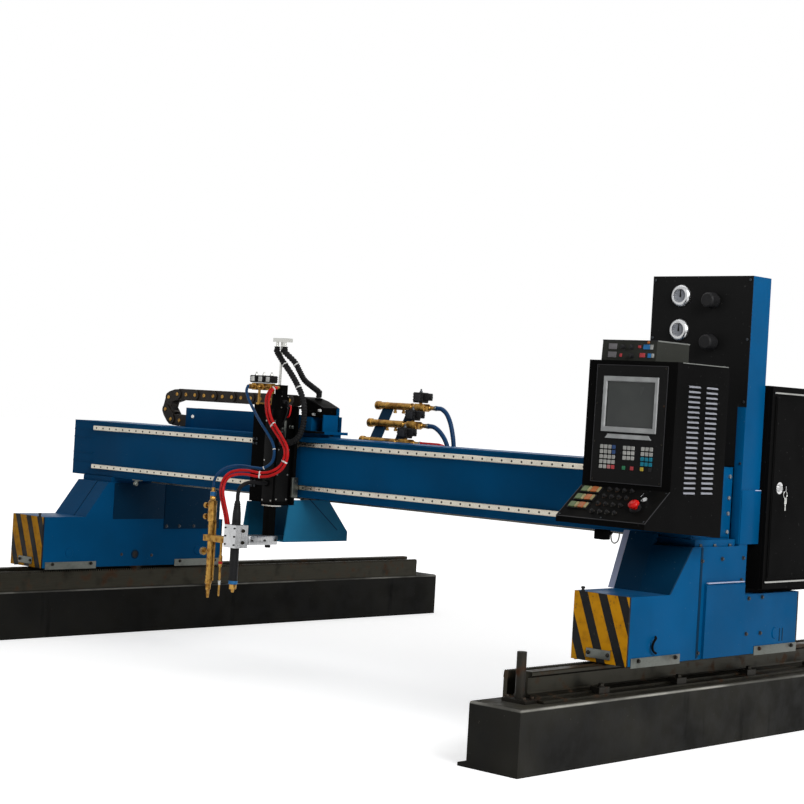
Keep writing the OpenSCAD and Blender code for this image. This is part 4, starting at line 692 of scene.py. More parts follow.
# Steps of the straight ends at valves, torches, mast and glands
VALVE_STEP, TORCH_STEP, MAST_STEP, GLAND_STEP = 8, 16, 13, 14
RED_LEFT = [(69, -112, 73), (60, -124, 32), (68, -127, -19), (89, -127, -73), (130, -127, -122),
            (181, -127, -170), (220, -127, -218), (226, -130, -263), (206, -140, -309), (164, -160, -339),
            (111, -184, -349), (55, -214, -342), (2, -239, -345), (-38, -264, -363), (-60, -284, -404),
            (-53, -299, -458), (-29, -306, -512), (-3, -306, -575)]
RED_RIGHT = [(89, -112, 77), (80, -124, 34), (88, -127, -15), (108, -127, -64), (146, -127, -109),
             (197, -127, -158), (240, -127, -213), (246, -130, -271), (222, -142, -325), (170, -164, -359),
             (111, -190, -369), (52, -220, -362), (4, -246, -365), (-26, -270, -381), (-40, -287, -413),
             (-33, -301, -461), (-10, -307, -512), (16, -307, -575)]
BLUE_RUN = [(-134, -87, 65), (-102, -94, 19), (-52, -102, -32), (18, -122, -85), (83, -130, -138),
            (132, -130, -191), (150, -130, -241), (140, -134, -292), (109, -159, -324), (70, -179, -326),
            (24, -199, -322), (-23, -219, -322), (-71, -249, -335), (-103, -279, -368)]
LEAD_RUN = [(70, -280, -430), (77, -249, -407), (84, -204, -400), (90, -169, -402)]
LONG_CONDUIT = [(48, -14, 235), (116, -12, 170), (169, -12, 112), (213, -14, 50), (238, -19, -24),
                (242, -26, -95), (230, -39, -153)]
SHORT_CONDUIT = [(126, 1, 230), (150, 16, 185), (160, 46, 140), (169, 96, 108)]
# Where the hoses would start and end to follow the torch lift; nothing reads them
HOSE_LOW = (-488, -1043, 800)
BLUE_LOW = (-488, -1043, 950)


def straight(point, along, step):
    """Three points in line that lead away from a fitting."""
    return [Vector(point) + Vector(along) * step * k for k in range(3)]


def route(first, points, last):
    """Listed points on the carriage between two straight ends, each a place, a direction and a step."""
    return straight(*first) + [Vector(p) + CARRIAGE_PLACE for p in points] + straight(*last)[::-1]


def follow_lift(piece):
    """Bakes the piece's placement into its mesh; it rides on no body and does not bend."""
    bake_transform(piece)


def hang_hose(name, points, diameter, material, replaces=()):
    """Hose between carriage and torch lift."""
    path = smooth_path(points)
    build = Build().tube(path, diameter / 2, 16)
    piece = build.done(name, material, "hose_rubber", None, replaces)
    follow_lift(piece)
    return path


red_left_path = hang_hose(
    "hose_red_left",
    route(((-406.5, -995.3, 1466), FRONT, VALVE_STEP), RED_LEFT,
          ((-494.5, TORCH_Y, BAR_HOSE_Z), UP, TORCH_STEP)),
    HOSE_D, red_hose, ["torch_hoses"])
red_right_path = hang_hose(
    "hose_red_right",
    route(((-386.5, -995.3, 1466), FRONT, VALVE_STEP), RED_RIGHT,
          ((-474.5, TORCH_Y, BAR_HOSE_Z), UP, TORCH_STEP)),
    HOSE_D, red_hose)
blue_path = hang_hose(
    "hose_blue",
    route(((-631, -970.3, 1468), FRONT, VALVE_STEP), BLUE_RUN,
          ((-608.5, TORCH_Y, 934.3), UP, TORCH_STEP)),
    HOSE_D, blue_hose)
hang_hose(
    "plasma_lead",
    route(((-420.5, TORCH_Y, 878.3), UP, TORCH_STEP), LEAD_RUN,
          ((-396.5, -1034.3, 972), FRONT, TORCH_STEP)),
    LEAD_D, rubber)


def even_path(points, step):
    """Smooth path with its points a fixed distance apart."""
    fine = smooth_path(points, 40)
    path, run = [fine[0]], 0.0
    for a, b in zip(fine, fine[1:]):
        run += (b - a).length
        if run >= step:
            path.append(b)
            run = 0.0
    if (fine[-1] - path[-1]).length > 0.3 * step:
        path.append(fine[-1])
    else:
        path[-1] = fine[-1]
    return path


def conduit(name, points, replaces=()):
    """Ribbed conduit on the carriage: four steps make one rib."""
    path = even_path(points, RIB_STEP)
    radii = [CONDUIT_D / 2 + RIB_WAVE[i % len(RIB_WAVE)] for i in range(len(path))]
    piece = Build().tube(path, radii, 20).done(name, rubber, "conduit_rubber", "carriage", replaces)
    return path


long_path = conduit(
    "conduit_long",
    route(((-482, MAST_Y, MAST_END_Z), DOWN, MAST_STEP), LONG_CONDUIT,
          ((-330.2, -960, 1190), RIGHT, GLAND_STEP)), ["conduits"])
short_path = conduit(
    "conduit_short",
    route(((-424, MAST_Y, MAST_END_Z), DOWN, MAST_STEP), SHORT_CONDUIT,
          ((-316.5, -770, 1428.3), UP, GLAND_STEP)))

TAIL_X = 190.3
CLIP_Z = 1111.3
CLIP_STEP = 12
# Y and Z of the manifold's tubes, X of the hoses' clips, and X and drop along each hose
TUBE_PLACES = [(-530, 1219), (-476, 1313), (-422, 1407)]
CLIP_X = [405, 352, 338]
HOSE_BENDS = [
    [(240, 0), (285, 0), (330, -1), (362, -9), (388, -32), (402, -66)],
    [(240, -3), (274, -20), (308, -50), (334, -88), (348, -128), (352, -155)],
    [(240, -3), (272, -24), (298, -62), (316, -108), (329, -158), (336, -205), (338, -245)]]


def manifold_hose(index, replaces=()):
    """Hose from a manifold tube down to the clip on the beam's rear."""
    y, z = TUBE_PLACES[index]
    points = straight((TAIL_X, y, z), RIGHT, CLIP_STEP)
    points += [Vector((x, y, z + drop)) for x, drop in HOSE_BENDS[index]]
    points += straight((CLIP_X[index], y, CLIP_Z), UP, CLIP_STEP)[::-1]
    path = smooth_path(points)
    material = red_hose if index == 0 else blue_hose
    build = Build().tube(path, GAS_HOSE_D / 2, 16)
    piece = build.done(f"manifold_hose_{index + 1}", material, "blue_hose", "gantry", replaces)
    return path


gas_paths = [manifold_hose(i, ["manifold_hoses"] if i == 0 else ()) for i in range(3)]


# Cable chain

CHAIN_Y = -610
CHAIN_LOW = 1254.3
CHAIN_R = 75
CHAIN_LOOP_X = -1625
CHAIN_FIXED_X = -400
CHAIN_PITCH = 78.06
CHAIN_H = 65
CHAIN_W = 70
CHAIN_TURN = 19
CHAIN_LINKS = 31
PLATE_T = 6
WAIST = 14
CROSS_BAR_HALF = 7
PIN_HEAD = [(11, -1), (11, 1.4), (9, 3), (4.2, 3), (3.4, 1.6), (0, 1.6)]


def chain_pin(run):
    """Place of a pin after a length of chain from its fixed end."""
    low_run = CHAIN_FIXED_X - CHAIN_LOOP_X
    bend = math.pi * CHAIN_R
    if run < low_run:
        return Vector((CHAIN_FIXED_X - run, CHAIN_Y, CHAIN_LOW))
    if run < low_run + bend:
        a = (run - low_run) / CHAIN_R
        rise = CHAIN_R * (1 - math.cos(a))
        return Vector((CHAIN_LOOP_X - CHAIN_R * math.sin(a), CHAIN_Y, CHAIN_LOW + rise))
    return Vector((CHAIN_LOOP_X + run - low_run - bend, CHAIN_Y, CHAIN_LOW + 2 * CHAIN_R))


def link_outline(length):
    """Side plate between two pins, waisted at its round ends."""
    half = CHAIN_H / 2
    end = half - 3
    top = arc((length, 0), end, -90, 90, 8) + [(length - WAIST, half), (WAIST, half)]
    return top + arc((0, 0), end, 90, 270, 8) + [(WAIST, -half), (length - WAIST, -half)]


def chain_links(plates, pins, first, last):
    """Links with side plates, cross bars and pin heads; every other link is narrower."""
    upright = Matrix.Rotation(math.radians(90), 4, "X")
    across = Vector((0, 1, 0))
    for i in range(first, last):
        a, b = chain_pin(i * CHAIN_PITCH), chain_pin((i + 1) * CHAIN_PITCH)
        length = (b - a).length
        along = (b - a).normalized()
        link = Matrix.Translation(a) @ Matrix((along, across, along.cross(across))).transposed().to_4x4()
        wide = i % 2 == 0
        outer = CHAIN_W / 2 if wide else CHAIN_W / 2 - PLATE_T - 0.5
        for side in (-1, 1):
            place = on(link, 0, side * (outer - PLATE_T / 2) + PLATE_T / 2) @ upright
            plates.prism(link_outline(length), PLATE_T, place, 1.2)
        for side in (-1, 1):
            z = side * (CHAIN_H / 2 - 3)
            plates.box((length / 2 - CROSS_BAR_HALF, 1 - outer, z - 3),
                       (length / 2 + CROSS_BAR_HALF, outer - 1, z + 3), 1.2, link)
        for x in ((0, length) if wide else ()):
            for side in (-1, 1):
                pins.lathe(PIN_HEAD, link @ aim((x, side * CHAIN_W / 2, 0), (0, side, 0)), 20)


def cable_chain():
    """The lower run and the loop stay on the gantry; the upper run rides on no body."""
    for run, first, last in (("lower", 0, CHAIN_TURN), ("upper", CHAIN_TURN, CHAIN_LINKS)):
        plates, pins = Build(), Build()
        chain_links(plates, pins, first, last)
        body = "gantry" if run == "lower" else None
        links = plates.done(f"chain_{run}_links", chain_bronze, "chain_plastic", body, ["drag_chain"])
        heads = pins.done(f"chain_{run}_pins", brass_aged, "chain_plastic", body)
        if run == "upper":
            for piece in (links, heads):
                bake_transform(piece)


TRAY_LOW, TRAY_HIGH = box_mm("chain_tray")
TRAY_T = 3
TRAY_END = -1503
TRAY_SCREW_PLACE = (-1442, TRAY_LOW.y, 1280)
TRAY_SCREW = [(13, -0.5), (13, 2), (10, 4.5), (5, 5.5), (0, 5.5)]


def tray_end():
    """Lengthens the chain tray to where its open end shows, with a fixing screw."""
    y0, y1 = TRAY_LOW.y, TRAY_HIGH.y
    z0, z1 = TRAY_LOW.z, TRAY_HIGH.z
    inner = TRAY_LOW.x + 0.5
    walls = Build().box((TRAY_END, y0, z0), (inner, y0 + TRAY_T, z1))
    walls.box((TRAY_END, y1 - TRAY_T, z0), (inner, y1, z1))
    walls.box((TRAY_END, y0 + TRAY_T, z0), (inner, y1 - TRAY_T, z0 + TRAY_T))
    walls.done("tray_end", blue, "blue_paint")
    Build().lathe(TRAY_SCREW, aim(TRAY_SCREW_PLACE, FRONT)).done("tray_screw", bright_zinc, "zinc")


cable_chain()
tray_end()


# Beds and trucks

RAIL_X = 2000
TRUCK_SIDE = box_mm("truck_right")[1].x
TRUCK_TOP = box_mm("truck_right")[1].z
TRUCK_HALF = TRUCK_SIDE - RAIL_X
LEFT_INNER = box_mm("truck_left")[1].x
COVER_OUT = box_mm("side_covers")[1].x
SIDE_BOLTS = [(-829, 816), (-673, 822), (-504, 823), (-510, 725), (-440, 641), (-328, 643), (-446, 483),
              (-329, 481), (-825, 419)]
FLANGE_X = RAIL_X + 130
FLANGE_BOLTS = [-831, -722, -603, -489]
# Y and Z ends of the dark strip beside the side cover: painted shadow
SHADOW_STRIP_Y = (-840, -822)
SHADOW_STRIP_Z = (396, 874)
SLOT_Y = (-160, -136)
SLOT_HALF = 4
SLOT_Z = (436, 496)
AXLE_Z = 475
AXLE_Y = (-1153, -200)
AXLE_CAP = [(27, -1), (27, 2), (25, 4), (0, 4.5)]
BUMPER_KNOB = [(9, 0), (9, 4), (6, 6), (6, 12), (9, 14), (9, 18), (7, 21), (0, 22)]
KNOB_PLACE = (RAIL_X - 102, -1339, 676)
# Hand hook: distance from the truck's side, Y and Z along its wire, and its eye
HOOK = [(1, -1146, 502), (12, -1158, 500), (14, -1176, 486), (14, -1183, 466), (14, -1174, 448),
        (12, -1152, 438)]
HOOK_EYE = [(8, -1), (8, 3), (6, 4)]
BUMPER_FRONT = -1345
BUMPER_REAR = -8
WIPER_T = 4
SCRAPER_HALF = 62
SCRAPER_Z = (408, 446)
SCRAPER_BOLT_Z = 428
WIPER_Z = (383, 424)
WIPER_RUNS = [(-1316, -961), (-376, -14)]
WIPER_BOLT_Y = (-1266, -997, -335, -60)
WIPER_BOLT_Z = 412
EDGE_X = (1826, 1857)
FOLD_X = 1990
PEDESTAL_Z = (677, 875.6)
STRIP_Z = (PEDESTAL_Z[0], 924.7)
# X ends, front and rear Y at foot and head, and Z ends of the leaning sheets
SEAM_SHEET = ((33 - RAIL_X, 36 - RAIL_X), (-1054, -1046), (-901, -893), *PEDESTAL_Z)
FRONT_SHEET = ((EDGE_X[1], FOLD_X), (-1065, -1040), (-970, -945), *STRIP_Z)
EDGE_SHEET = (EDGE_X, (-1066, -1048), (-971, -953), *STRIP_Z)
# X and Y round the gusset's foot and head
GUSSET_OUT = TRUCK_SIDE - 0.2
GUSSET_FOOT = [(FOLD_X, -1064), (GUSSET_OUT, -1062.4), (GUSSET_OUT, -1040), (FOLD_X, -1040)]
GUSSET_HEAD = [(FOLD_X, -987), (GUSSET_OUT, -908.4), (GUSSET_OUT, -886), (FOLD_X, -886)]
GUSSET_STEPS = 8
# Corners of the pale strip on the side cover's top edge: painted highlight
COVER_TOP_EDGE = ((COVER_OUT - 10, -792, 717), (COVER_OUT + 0.4, -500, 722))


def wiper_plates():
    """Galvanised scrapers across the rails and long wiper plates along both sides of the trucks."""
    plates, bolts = Build(), Build()
    for middle in (-RAIL_X, RAIL_X):
        for face, out in ((BUMPER_FRONT - WIPER_T, -1), (BUMPER_REAR + WIPER_T, 1)):
            plates.box((middle - SCRAPER_HALF, face, SCRAPER_Z[0]),
                       (middle + SCRAPER_HALF, face - out * WIPER_T, SCRAPER_Z[1]))
            for x in (-50, 50):
                bolts.hex_bolt(aim((middle + x, face, SCRAPER_BOLT_Z), (0, out, 0)), 12, 6)
        for side in (-1, 1):
            inner = middle + side * TRUCK_HALF
            outer = inner + side * WIPER_T
            for y0, y1 in WIPER_RUNS:
                plates.box((inner, y0, WIPER_Z[0]), (outer, y1, WIPER_Z[1]))
            for y in WIPER_BOLT_Y:
                bolts.hex_bolt(aim((outer, y, WIPER_BOLT_Z), (side, 0, 0)), 13, 7)
    plates.done("wiper_plates", dull_zinc, "zinc", "gantry", ["scraper_plates"])
    bolts.done("wiper_bolts", dark_iron, "zinc")


def truck_details():
    """Bolts, a dark strip of painted shadow beside the side cover, caps, dark slots with painted shade, knob
    and hook of both trucks; the left one is the mirror image.
    """
    for side, word in ((1, "right"), (-1, "left")):
        out = (side, 0, 0)
        face = side * TRUCK_SIDE
        low, high = face - side * 0.5, face + side * 1.2
        Build().many(Build.hex_bolt, [aim((face, y, z), out) for y, z in SIDE_BOLTS], 13, 7).done(
            f"truck_bolts_{word}", bolt_steel, "zinc")
        Build().many(Build.hex_bolt, grid(UP, [side * FLANGE_X], FLANGE_BOLTS, [TRUCK_TOP]), 18, 9).done(
            f"flange_bolts_{word}", bolt_steel, "machined_steel")
        # Dark strip beside the side cover: painted shadow between the cover and the truck
        Build().box((low, SHADOW_STRIP_Y[0], SHADOW_STRIP_Z[0]), (high, SHADOW_STRIP_Y[1], SHADOW_STRIP_Z[1]), 0.4).done(
            f"truck_shadow_strips_{word}", dark_blue, "blue_paint")
        caps, slots = Build(), Build()
        for y in AXLE_Y:
            caps.lathe(AXLE_CAP, aim((face, y, AXLE_Z), out), 32)
        for y in AXLE_Y:
            caps.lathe(AXLE_CAP, aim((side * (RAIL_X - TRUCK_HALF), y, AXLE_Z), (-side, 0, 0)), 32)
        caps.done(f"axle_caps_{word}", blue, "blue_paint")
        # The slots are dark boxes on the face: the shade inside them is painted
        for y in SLOT_Y:
            slots.box((low, y - SLOT_HALF, SLOT_Z[0]), (high, y + SLOT_HALF, SLOT_Z[1]), 0.5)
        slots.done(f"truck_slots_{word}", dark_blue, "blue_paint")
        x, y, z = KNOB_PLACE
        Build().lathe(BUMPER_KNOB, aim((side * x, y, z), UP), 20).done(
            f"bumper_knob_{word}", black_plastic, "black_paint")
        hook = Build().tube(smooth_path([(face + side * x, y, z) for x, y, z in HOOK]), 5)
        hook.lathe(HOOK_EYE, aim((face, *HOOK[0][1:]), out), 16)
        hook.done(f"hand_hook_{word}", black, "black_paint")


def leaning_sheet(xs, foot, head, low, high):
    """Sheet between two X places that leans from its foot to its head, each a front and a rear Y."""
    return Build().loft([[(x, foot[0], low), (x, foot[1], low), (x, head[1], high), (x, head[0], high)]
                         for x in xs])


def pedestal_fronts():
    """Folded sheet front of the right pedestal in a darker blue for painted shade, with a support strip
    painted pale as a painted highlight, the left one's seam, and a painted highlight along the side cover's
    top edge.
    """
    leaning_sheet(*SEAM_SHEET).done("pedestal_seam", dark_blue, "blue_paint")
    # The front sheet and the gusset are a darker blue: painted shade under the console
    leaning_sheet(*FRONT_SHEET).done("pedestal_front", dark_blue, "blue_paint")
    low, high = PEDESTAL_Z
    corners = [(x, y0, y1) for (x, y0), (_, y1) in zip(GUSSET_FOOT, GUSSET_HEAD)]
    steps = [k / GUSSET_STEPS for k in range(GUSSET_STEPS + 1)]
    Build().loft([[(x, y0 + (y1 - y0) * t, low + (high - low) * t) for x, y0, y1 in corners]
                  for t in steps]).done("pedestal_gusset", dark_blue, "blue_paint")
    # Pale support strip on the lit plate edge: painted highlight
    leaning_sheet(*EDGE_SHEET).done("pedestal_edge", painted_highlight_blue, "blue_paint")
    # Pale strip on the side cover's top edge: painted highlight
    Build().box(*COVER_TOP_EDGE, 2).done("cover_top_edge", painted_highlight_blue, "blue_paint")


SKIRT_FACE = -1853
COVER_FACE = -1858
# Opposite corners of the left drive's cover, of its skirt, and of the dark sheet in front of it that stands
# for the beam's shadow on the truck's inner face: painted shadow
DRIVE_COVER = ((-2110, -474, 659), (COVER_FACE, -62, 1010))
DRIVE_SKIRT = ((COVER_FACE, -474, 604), (SKIRT_FACE, -40, 1010))
BEAM_SHADOW_SHEET = ((COVER_FACE, -856, 664), (-1854, -478, 872))
SKIRT_BOLTS = grid(RIGHT, [SKIRT_FACE], (-455, -356, -243, -130), [620])
INNER_BOLTS = [(-777, 459), (-553, 450)]
PORT_PLACE = (LEFT_INNER, -678, 458)
PORT_RIM = (27, 20, -0.5, 2.5)
PORT = [(20.4, -0.5), (20.4, 0.8), (6, 1.2), (5, 0.9)]
SENSOR = [(12, 0), (12, 6), (9, 8), (9, 18), (14, 20), (14, 34), (11, 38), (0, 39)]
SENSOR_PLACE = (-1667, -846, 905)
SENSOR_AXIS = (0, -0.5, -1)
SENSOR_PLATE = ((-1700, -858, 899), (-1634, -834, 905.2))


def left_drive_cover():
    """Sheet cover behind the left pedestal, with a bolted skirt, both in a darker blue for painted shade, a
    dark sheet on the truck's inner face as the beam's painted shadow, and the other plates of the truck's
    inner face.
    """
    # Cover, skirt and sheet are a darker blue: painted shade and the beam's painted shadow
    Build().box(*DRIVE_COVER, 6).boxes([DRIVE_SKIRT, BEAM_SHADOW_SHEET], 1.5).done(
        "left_drive_cover", dark_blue, "blue_paint")
    bolts = Build().many(Build.hex_bolt, SKIRT_BOLTS, 13, 7)
    bolts.many(Build.hex_bolt, [aim((LEFT_INNER, y, z), RIGHT) for y, z in INNER_BOLTS], 12, 6)
    bolts.done("left_cover_bolts", bolt_steel, "zinc")
    port = aim(PORT_PLACE, RIGHT)
    Build().washer(*PORT_RIM, port, 32).done("left_port_rim", dark_blue, "blue_paint")
    Build().lathe(PORT, port, 32).done("left_port", black_plastic, "black_paint")
    Build().lathe(SENSOR, aim(SENSOR_PLACE, SENSOR_AXIS)).box(*SENSOR_PLATE).done(
        "beam_sensor", dull_zinc, "zinc")


CLAMP_PITCH = 560
CLAMP_ROWS = 6
CLAMP_BOLT_X = 64
CLAMP_Z = 304
CLAMP_WASHER = [(16.5, 0), (16.5, 2), (15, 3), (13, 3)]
STOP_Y = -1850
STOP_BASE_Z = 280
STOP_BOLT_X = 42
STOP_BOLT_Y = 26


def clamp_details():
    """Washers round the clamp bolts and lock nuts on the stop posts' bases."""
    build = Build()
    for middle in (-RAIL_X, RAIL_X):
        for i in range(CLAMP_ROWS):
            y = (i - (CLAMP_ROWS - 1) / 2) * CLAMP_PITCH
            for x in (-CLAMP_BOLT_X, CLAMP_BOLT_X):
                build.lathe(CLAMP_WASHER, aim((middle + x, y, CLAMP_Z), UP), 20)
        for x in (-STOP_BOLT_X, STOP_BOLT_X):
            for y in (-STOP_BOLT_Y, STOP_BOLT_Y):
                build.hex_bolt(aim((middle + x, STOP_Y + y, STOP_BASE_Z), UP), 17, 10)
    build.done("clamp_washers", dark_iron, "rail_steel", "beds")


wiper_plates()
truck_details()
pedestal_fronts()
left_drive_cover()
clamp_details()


# Beam

GUIDE_LOW, GUIDE_HIGH = box_mm("guide_rails")
GUIDE_PITCH = 60
GUIDE_Z = (957, 1181)
GUIDE_PLUG = [(5.3, -5), (5.3, 0.2), (4.4, 0.6), (2.4, 0.6), (2.0, -2), (0, -2)]
BEAM_END = 2100
END_PLATE = ((BEAM_END, -852, 913), (BEAM_END + 4, -568, 1213))
WELD_X = range(-2240, BEAM_END, 120)
WELD_Y = -861
WELD_Z = (912, 1214)
WELD_R = 3.2
END_BOLTS = grid(RIGHT, [BEAM_END], (-830, -590), (936, 1017, 1086, 1180))


def beam_details():
    """Plugs in the guides' screw holes, bolted plate on the right end and welds along the front's edges."""
    plugs = Build()
    x = GUIDE_LOW.x + GUIDE_PITCH / 2
    while x < GUIDE_HIGH.x - 5:
        for z in GUIDE_Z:
            plugs.lathe(GUIDE_PLUG, aim((x, GUIDE_LOW.y, z), FRONT), 12)
        x += GUIDE_PITCH
    plugs.done("guide_screws", black_plastic, "machined_steel")
    Build().many(Build.hex_bolt, END_BOLTS, 17, 9).done("beam_end_bolts", zinc, "zinc")
    Build().box(*END_PLATE, 3).done("beam_end_plate", blue, "blue_paint")
    welds = Build()
    for z in WELD_Z:
        welds.tube([(x, WELD_Y, z) for x in WELD_X], WELD_R, 8)
    welds.done("beam_welds", blue, "blue_paint")


beam_details()


# Column and cabinet

PANEL_Y = box_mm("gas_panel")[0].y
COLUMN_SIDE = 2142.4
DIAL_X = 1769.5
DIAL_Z = (1828, 1983)
DIAL_SWEEP = 270
DIAL_TICKS = 13
BEZEL = [(50.5, 4.6), (50.5, 9), (48, 15), (43, 20), (38, 22.6), (33, 22.6), (32.2, 20), (32.2, 12.6),
         (36.2, 12), (36.2, 8.2), (49, 5)]
REGULATOR_X = 1944.5
REGULATOR_Z = (1773, 1961)
REGULATOR_WASHER = [(30, 0), (30, 0.3), (27, 0.4)]
PANEL_SCREWS = grid(FRONT, (1622, 2128), [PANEL_Y], (1240, 1513, 1790, 2055))
# Opposite corners of the strip folded round the column's edge, and of the pale strip at its upper end that is
# a painted highlight
FLANGE_FRONT = ((2099, -549.6, 884), (2142.6, -544.8, 1490))
FLANGE_SIDE = ((COLUMN_SIDE, -545, 884), (2146.5, -391, 1124))
FLANGE_HIGHLIGHT = ((COLUMN_SIDE, -440, 1121), (2147, -391, 1125))


def gauge_details():
    """Dials with bare ticks, each third one long, and turned bezels."""
    dials, ticks, bezels = Build(), Build(), Build()
    for z in DIAL_Z:
        front = aim((DIAL_X, PANEL_Y, z), FRONT)
        dials.washer(31.5, 4, 11, 12.5, front)
        for i in range(DIAL_TICKS):
            angle = math.radians(-DIAL_SWEEP / 2 + DIAL_SWEEP * i / (DIAL_TICKS - 1))
            start = 25 if i % 3 else 22
            ticks.box((-0.9, start, 12.4), (0.9, 29.5, 12.9), 0.2, front @ Matrix.Rotation(angle, 4, "Z"))
        bezels.hoop([circle(r, h, 48) for r, h in BEZEL], front)
    dials.done("gauge_dials", dial_grey, "gauge_metal")
    ticks.done("gauge_ticks", black_plastic, "needle_black")
    bezels.done("gauge_bezels", aluminium, "gauge_metal")


def column_details():
    """Panel screws, washers behind the regulator knobs, and the folded strip at the column's edge with a
    painted highlight at its upper end.
    """
    Build().many(Build.cap_screw, PANEL_SCREWS, 12, 4).done("panel_screws", bolt_steel, "zinc")
    collars = Build()
    for z in REGULATOR_Z:
        collars.lathe(REGULATOR_WASHER, aim((REGULATOR_X, PANEL_Y, z), FRONT), 32)
    collars.done("regulator_washers", zinc, "zinc")
    Build().box(*FLANGE_FRONT).box(*FLANGE_SIDE, 1.5).done("column_flange", blue, "blue_paint")
    # Pale strip at the flange's upper end: painted highlight
    Build().box(*FLANGE_HIGHLIGHT).done("flange_highlight", painted_highlight_blue, "blue_paint")


DOOR_OUT = box_mm("cabinet_door")[1].x
RIM_MIDDLE = (-90, 1137)
RIM_HALF = (262, 404)
RIM_W = 6
# Zinc strips along the door's top and bottom edges: painted highlights
DOOR_HIGHLIGHTS = [((2178, -376, z), (2183.5, 196, z + 7)) for z in (711, 1560)]
LOCK_PLACE = (DOOR_OUT, -297, 1137)
KEY_RING = (2214, -297, 1110)
KEY_RING_R = 15
KEY_RING_POINTS = 24
KEY_BOW = ((2212.5, -302, 1068), (2215.5, -284, 1096))
KEY_BLADE = ((2213, -297, 1038), (2215, -289, 1069))


def cabinet_details():
    """Pressed rim, edge strips that are painted highlights, lock rose and keys of the cabinet's door."""
    middle_y, middle_z = RIM_MIDDLE
    inner = (RIM_HALF[0] - RIM_W, RIM_HALF[1] - RIM_W)
    rings = [[(DOOR_OUT + out, middle_y + y, middle_z + z) for y, z, _ in rectangle(half, 0)]
             for half, out in ((RIM_HALF, -0.5), (RIM_HALF, 2), (inner, 2), (inner, -0.5))]
    Build().hoop(rings).done("door_rim", black, "black_paint", "cabinet_door")
    # Painted highlights along the door's top and bottom edges
    Build().boxes(DOOR_HIGHLIGHTS).done("door_highlights", zinc, "zinc", "cabinet_door")
    Build().washer(27, 16.5, -0.5, 2.5, aim(LOCK_PLACE, RIGHT), 36).done(
        "lock_rose", chrome, "zinc", "cabinet_door")
    ring = arc(KEY_RING[1:], KEY_RING_R, 0, 360, KEY_RING_POINTS)
    keys = Build().tube([(KEY_RING[0], y, z) for y, z in ring], 1.4, 8)
    keys.box(*KEY_BOW, 1.2).box(*KEY_BLADE, 0.8).done("lock_keys", bright_zinc, "zinc", "door_lock")


gauge_details()
column_details()
cabinet_details()


# Electrics inside the cabinet: faces are X places, and each row has its Y places and Z range

DRIVE_FACE = 1984.5
DRIVE_Y = [-320, -160, 0]
DRIVE_W = 120
DRIVE_Z = (1210, 1430)
DRIVE_RIBS = 8
DRIVE_KEYS = 4
BREAKER_FACE = 1914.5
BREAKER_Y = [-310 + 40 * i for i in range(10)]
BREAKER_W = 35
BREAKER_Z = (1030, 1120)
BREAKER_SCREW = [(6, -0.5), (6, 1.5), (4.5, 2), (4, 0.8), (0, 0.8)]
TERMINAL_FACE = 1894.5
TERMINAL_OUT = TERMINAL_FACE + 14
TERMINAL_Y = [-306 + 10 * i for i in range(42)]
TERMINAL_W = 8.6
TERMINAL_Z = (850, 900)
TERMINAL_SCREW = [(3.2, -0.5), (3.2, 1), (2.2, 1.4), (2, 0.4), (0, 0.4)]
EARTH_EVERY = 7
PLATE_FACE = 1840.5
DUCT_OUT = 1892
DUCT_Y = (-340, 160)
DUCT_ROWS = [(770, 820), (935, 995), (1140, 1192), (1455, 1515)]
DUCT_PITCH = 12


def drive_fronts():
    """Moulded covers with vent ribs, and a small control panel with a display and keys, on each drive."""
    covers, panels, glass = Build(), Build(), Build()
    low, high = DRIVE_Z
    face = DRIVE_FACE
    for y in DRIVE_Y:
        end = y + DRIVE_W
        covers.box((face - 1, y + 4, low + 5), (face + 8, end - 4, high - 5), 3)
        for rib in range(DRIVE_RIBS):
            z = low + 16 + 10 * rib
            covers.box((face + 7, y + 16, z), (face + 12, end - 16, z + 5))
        panels.box((face + 7, y + 22, high - 98), (face + 13, end - 22, high - 22), 3)
        glass.box((face + 12, y + 32, high - 56), (face + 14, end - 32, high - 30))
        for key in range(DRIVE_KEYS):
            left = y + 30 + 16 * key
            glass.box((face + 12, left, high - 84), (face + 15, left + 12, high - 72))
    covers.done("drive_covers", dark_grey, "electrics")
    panels.done("drive_panels", grey_plastic, "electrics")
    glass.done("drive_displays", black_plastic, "electrics")


def breaker_row():
    """Pale breaker noses with black levers and clamp screws."""
    noses, levers = Build(), Build()
    low, high = BREAKER_Z
    for y in BREAKER_Y:
        end = y + BREAKER_W
        noses.box((BREAKER_FACE - 1, y + 1, low + 22), (BREAKER_FACE + 9, end - 1, high - 22), 2)
        levers.box((BREAKER_FACE + 8, y + 9, low + 40), (BREAKER_FACE + 20, end - 9, low + 54), 2)
        for z in (low + 10, high - 10):
            levers.lathe(BREAKER_SCREW, aim((BREAKER_FACE, y + BREAKER_W / 2, z), RIGHT), 16)
    noses.done("breaker_noses", white_enamel, "electrics")
    levers.done("breaker_levers", black_plastic, "electrics")


def terminal_row():
    """Clip-on terminals in a row, most of them grey and each seventh one an earth terminal."""
    plain, earth = Build(), Build()
    low, high = TERMINAL_Z
    for i, y in enumerate(TERMINAL_Y):
        build = earth if i % EARTH_EVERY == EARTH_EVERY - 1 else plain
        build.box((TERMINAL_FACE - 1, y, low - 4), (TERMINAL_OUT, y + TERMINAL_W, high + 4), 1.5)
        for z in (low + 8, high - 8):
            build.lathe(TERMINAL_SCREW, aim((TERMINAL_OUT, y + TERMINAL_W / 2, z), RIGHT), 10)
    plain.done("terminal_clips", grey_plastic, "electrics")
    earth.done("earth_clips", green_key, "electrics")


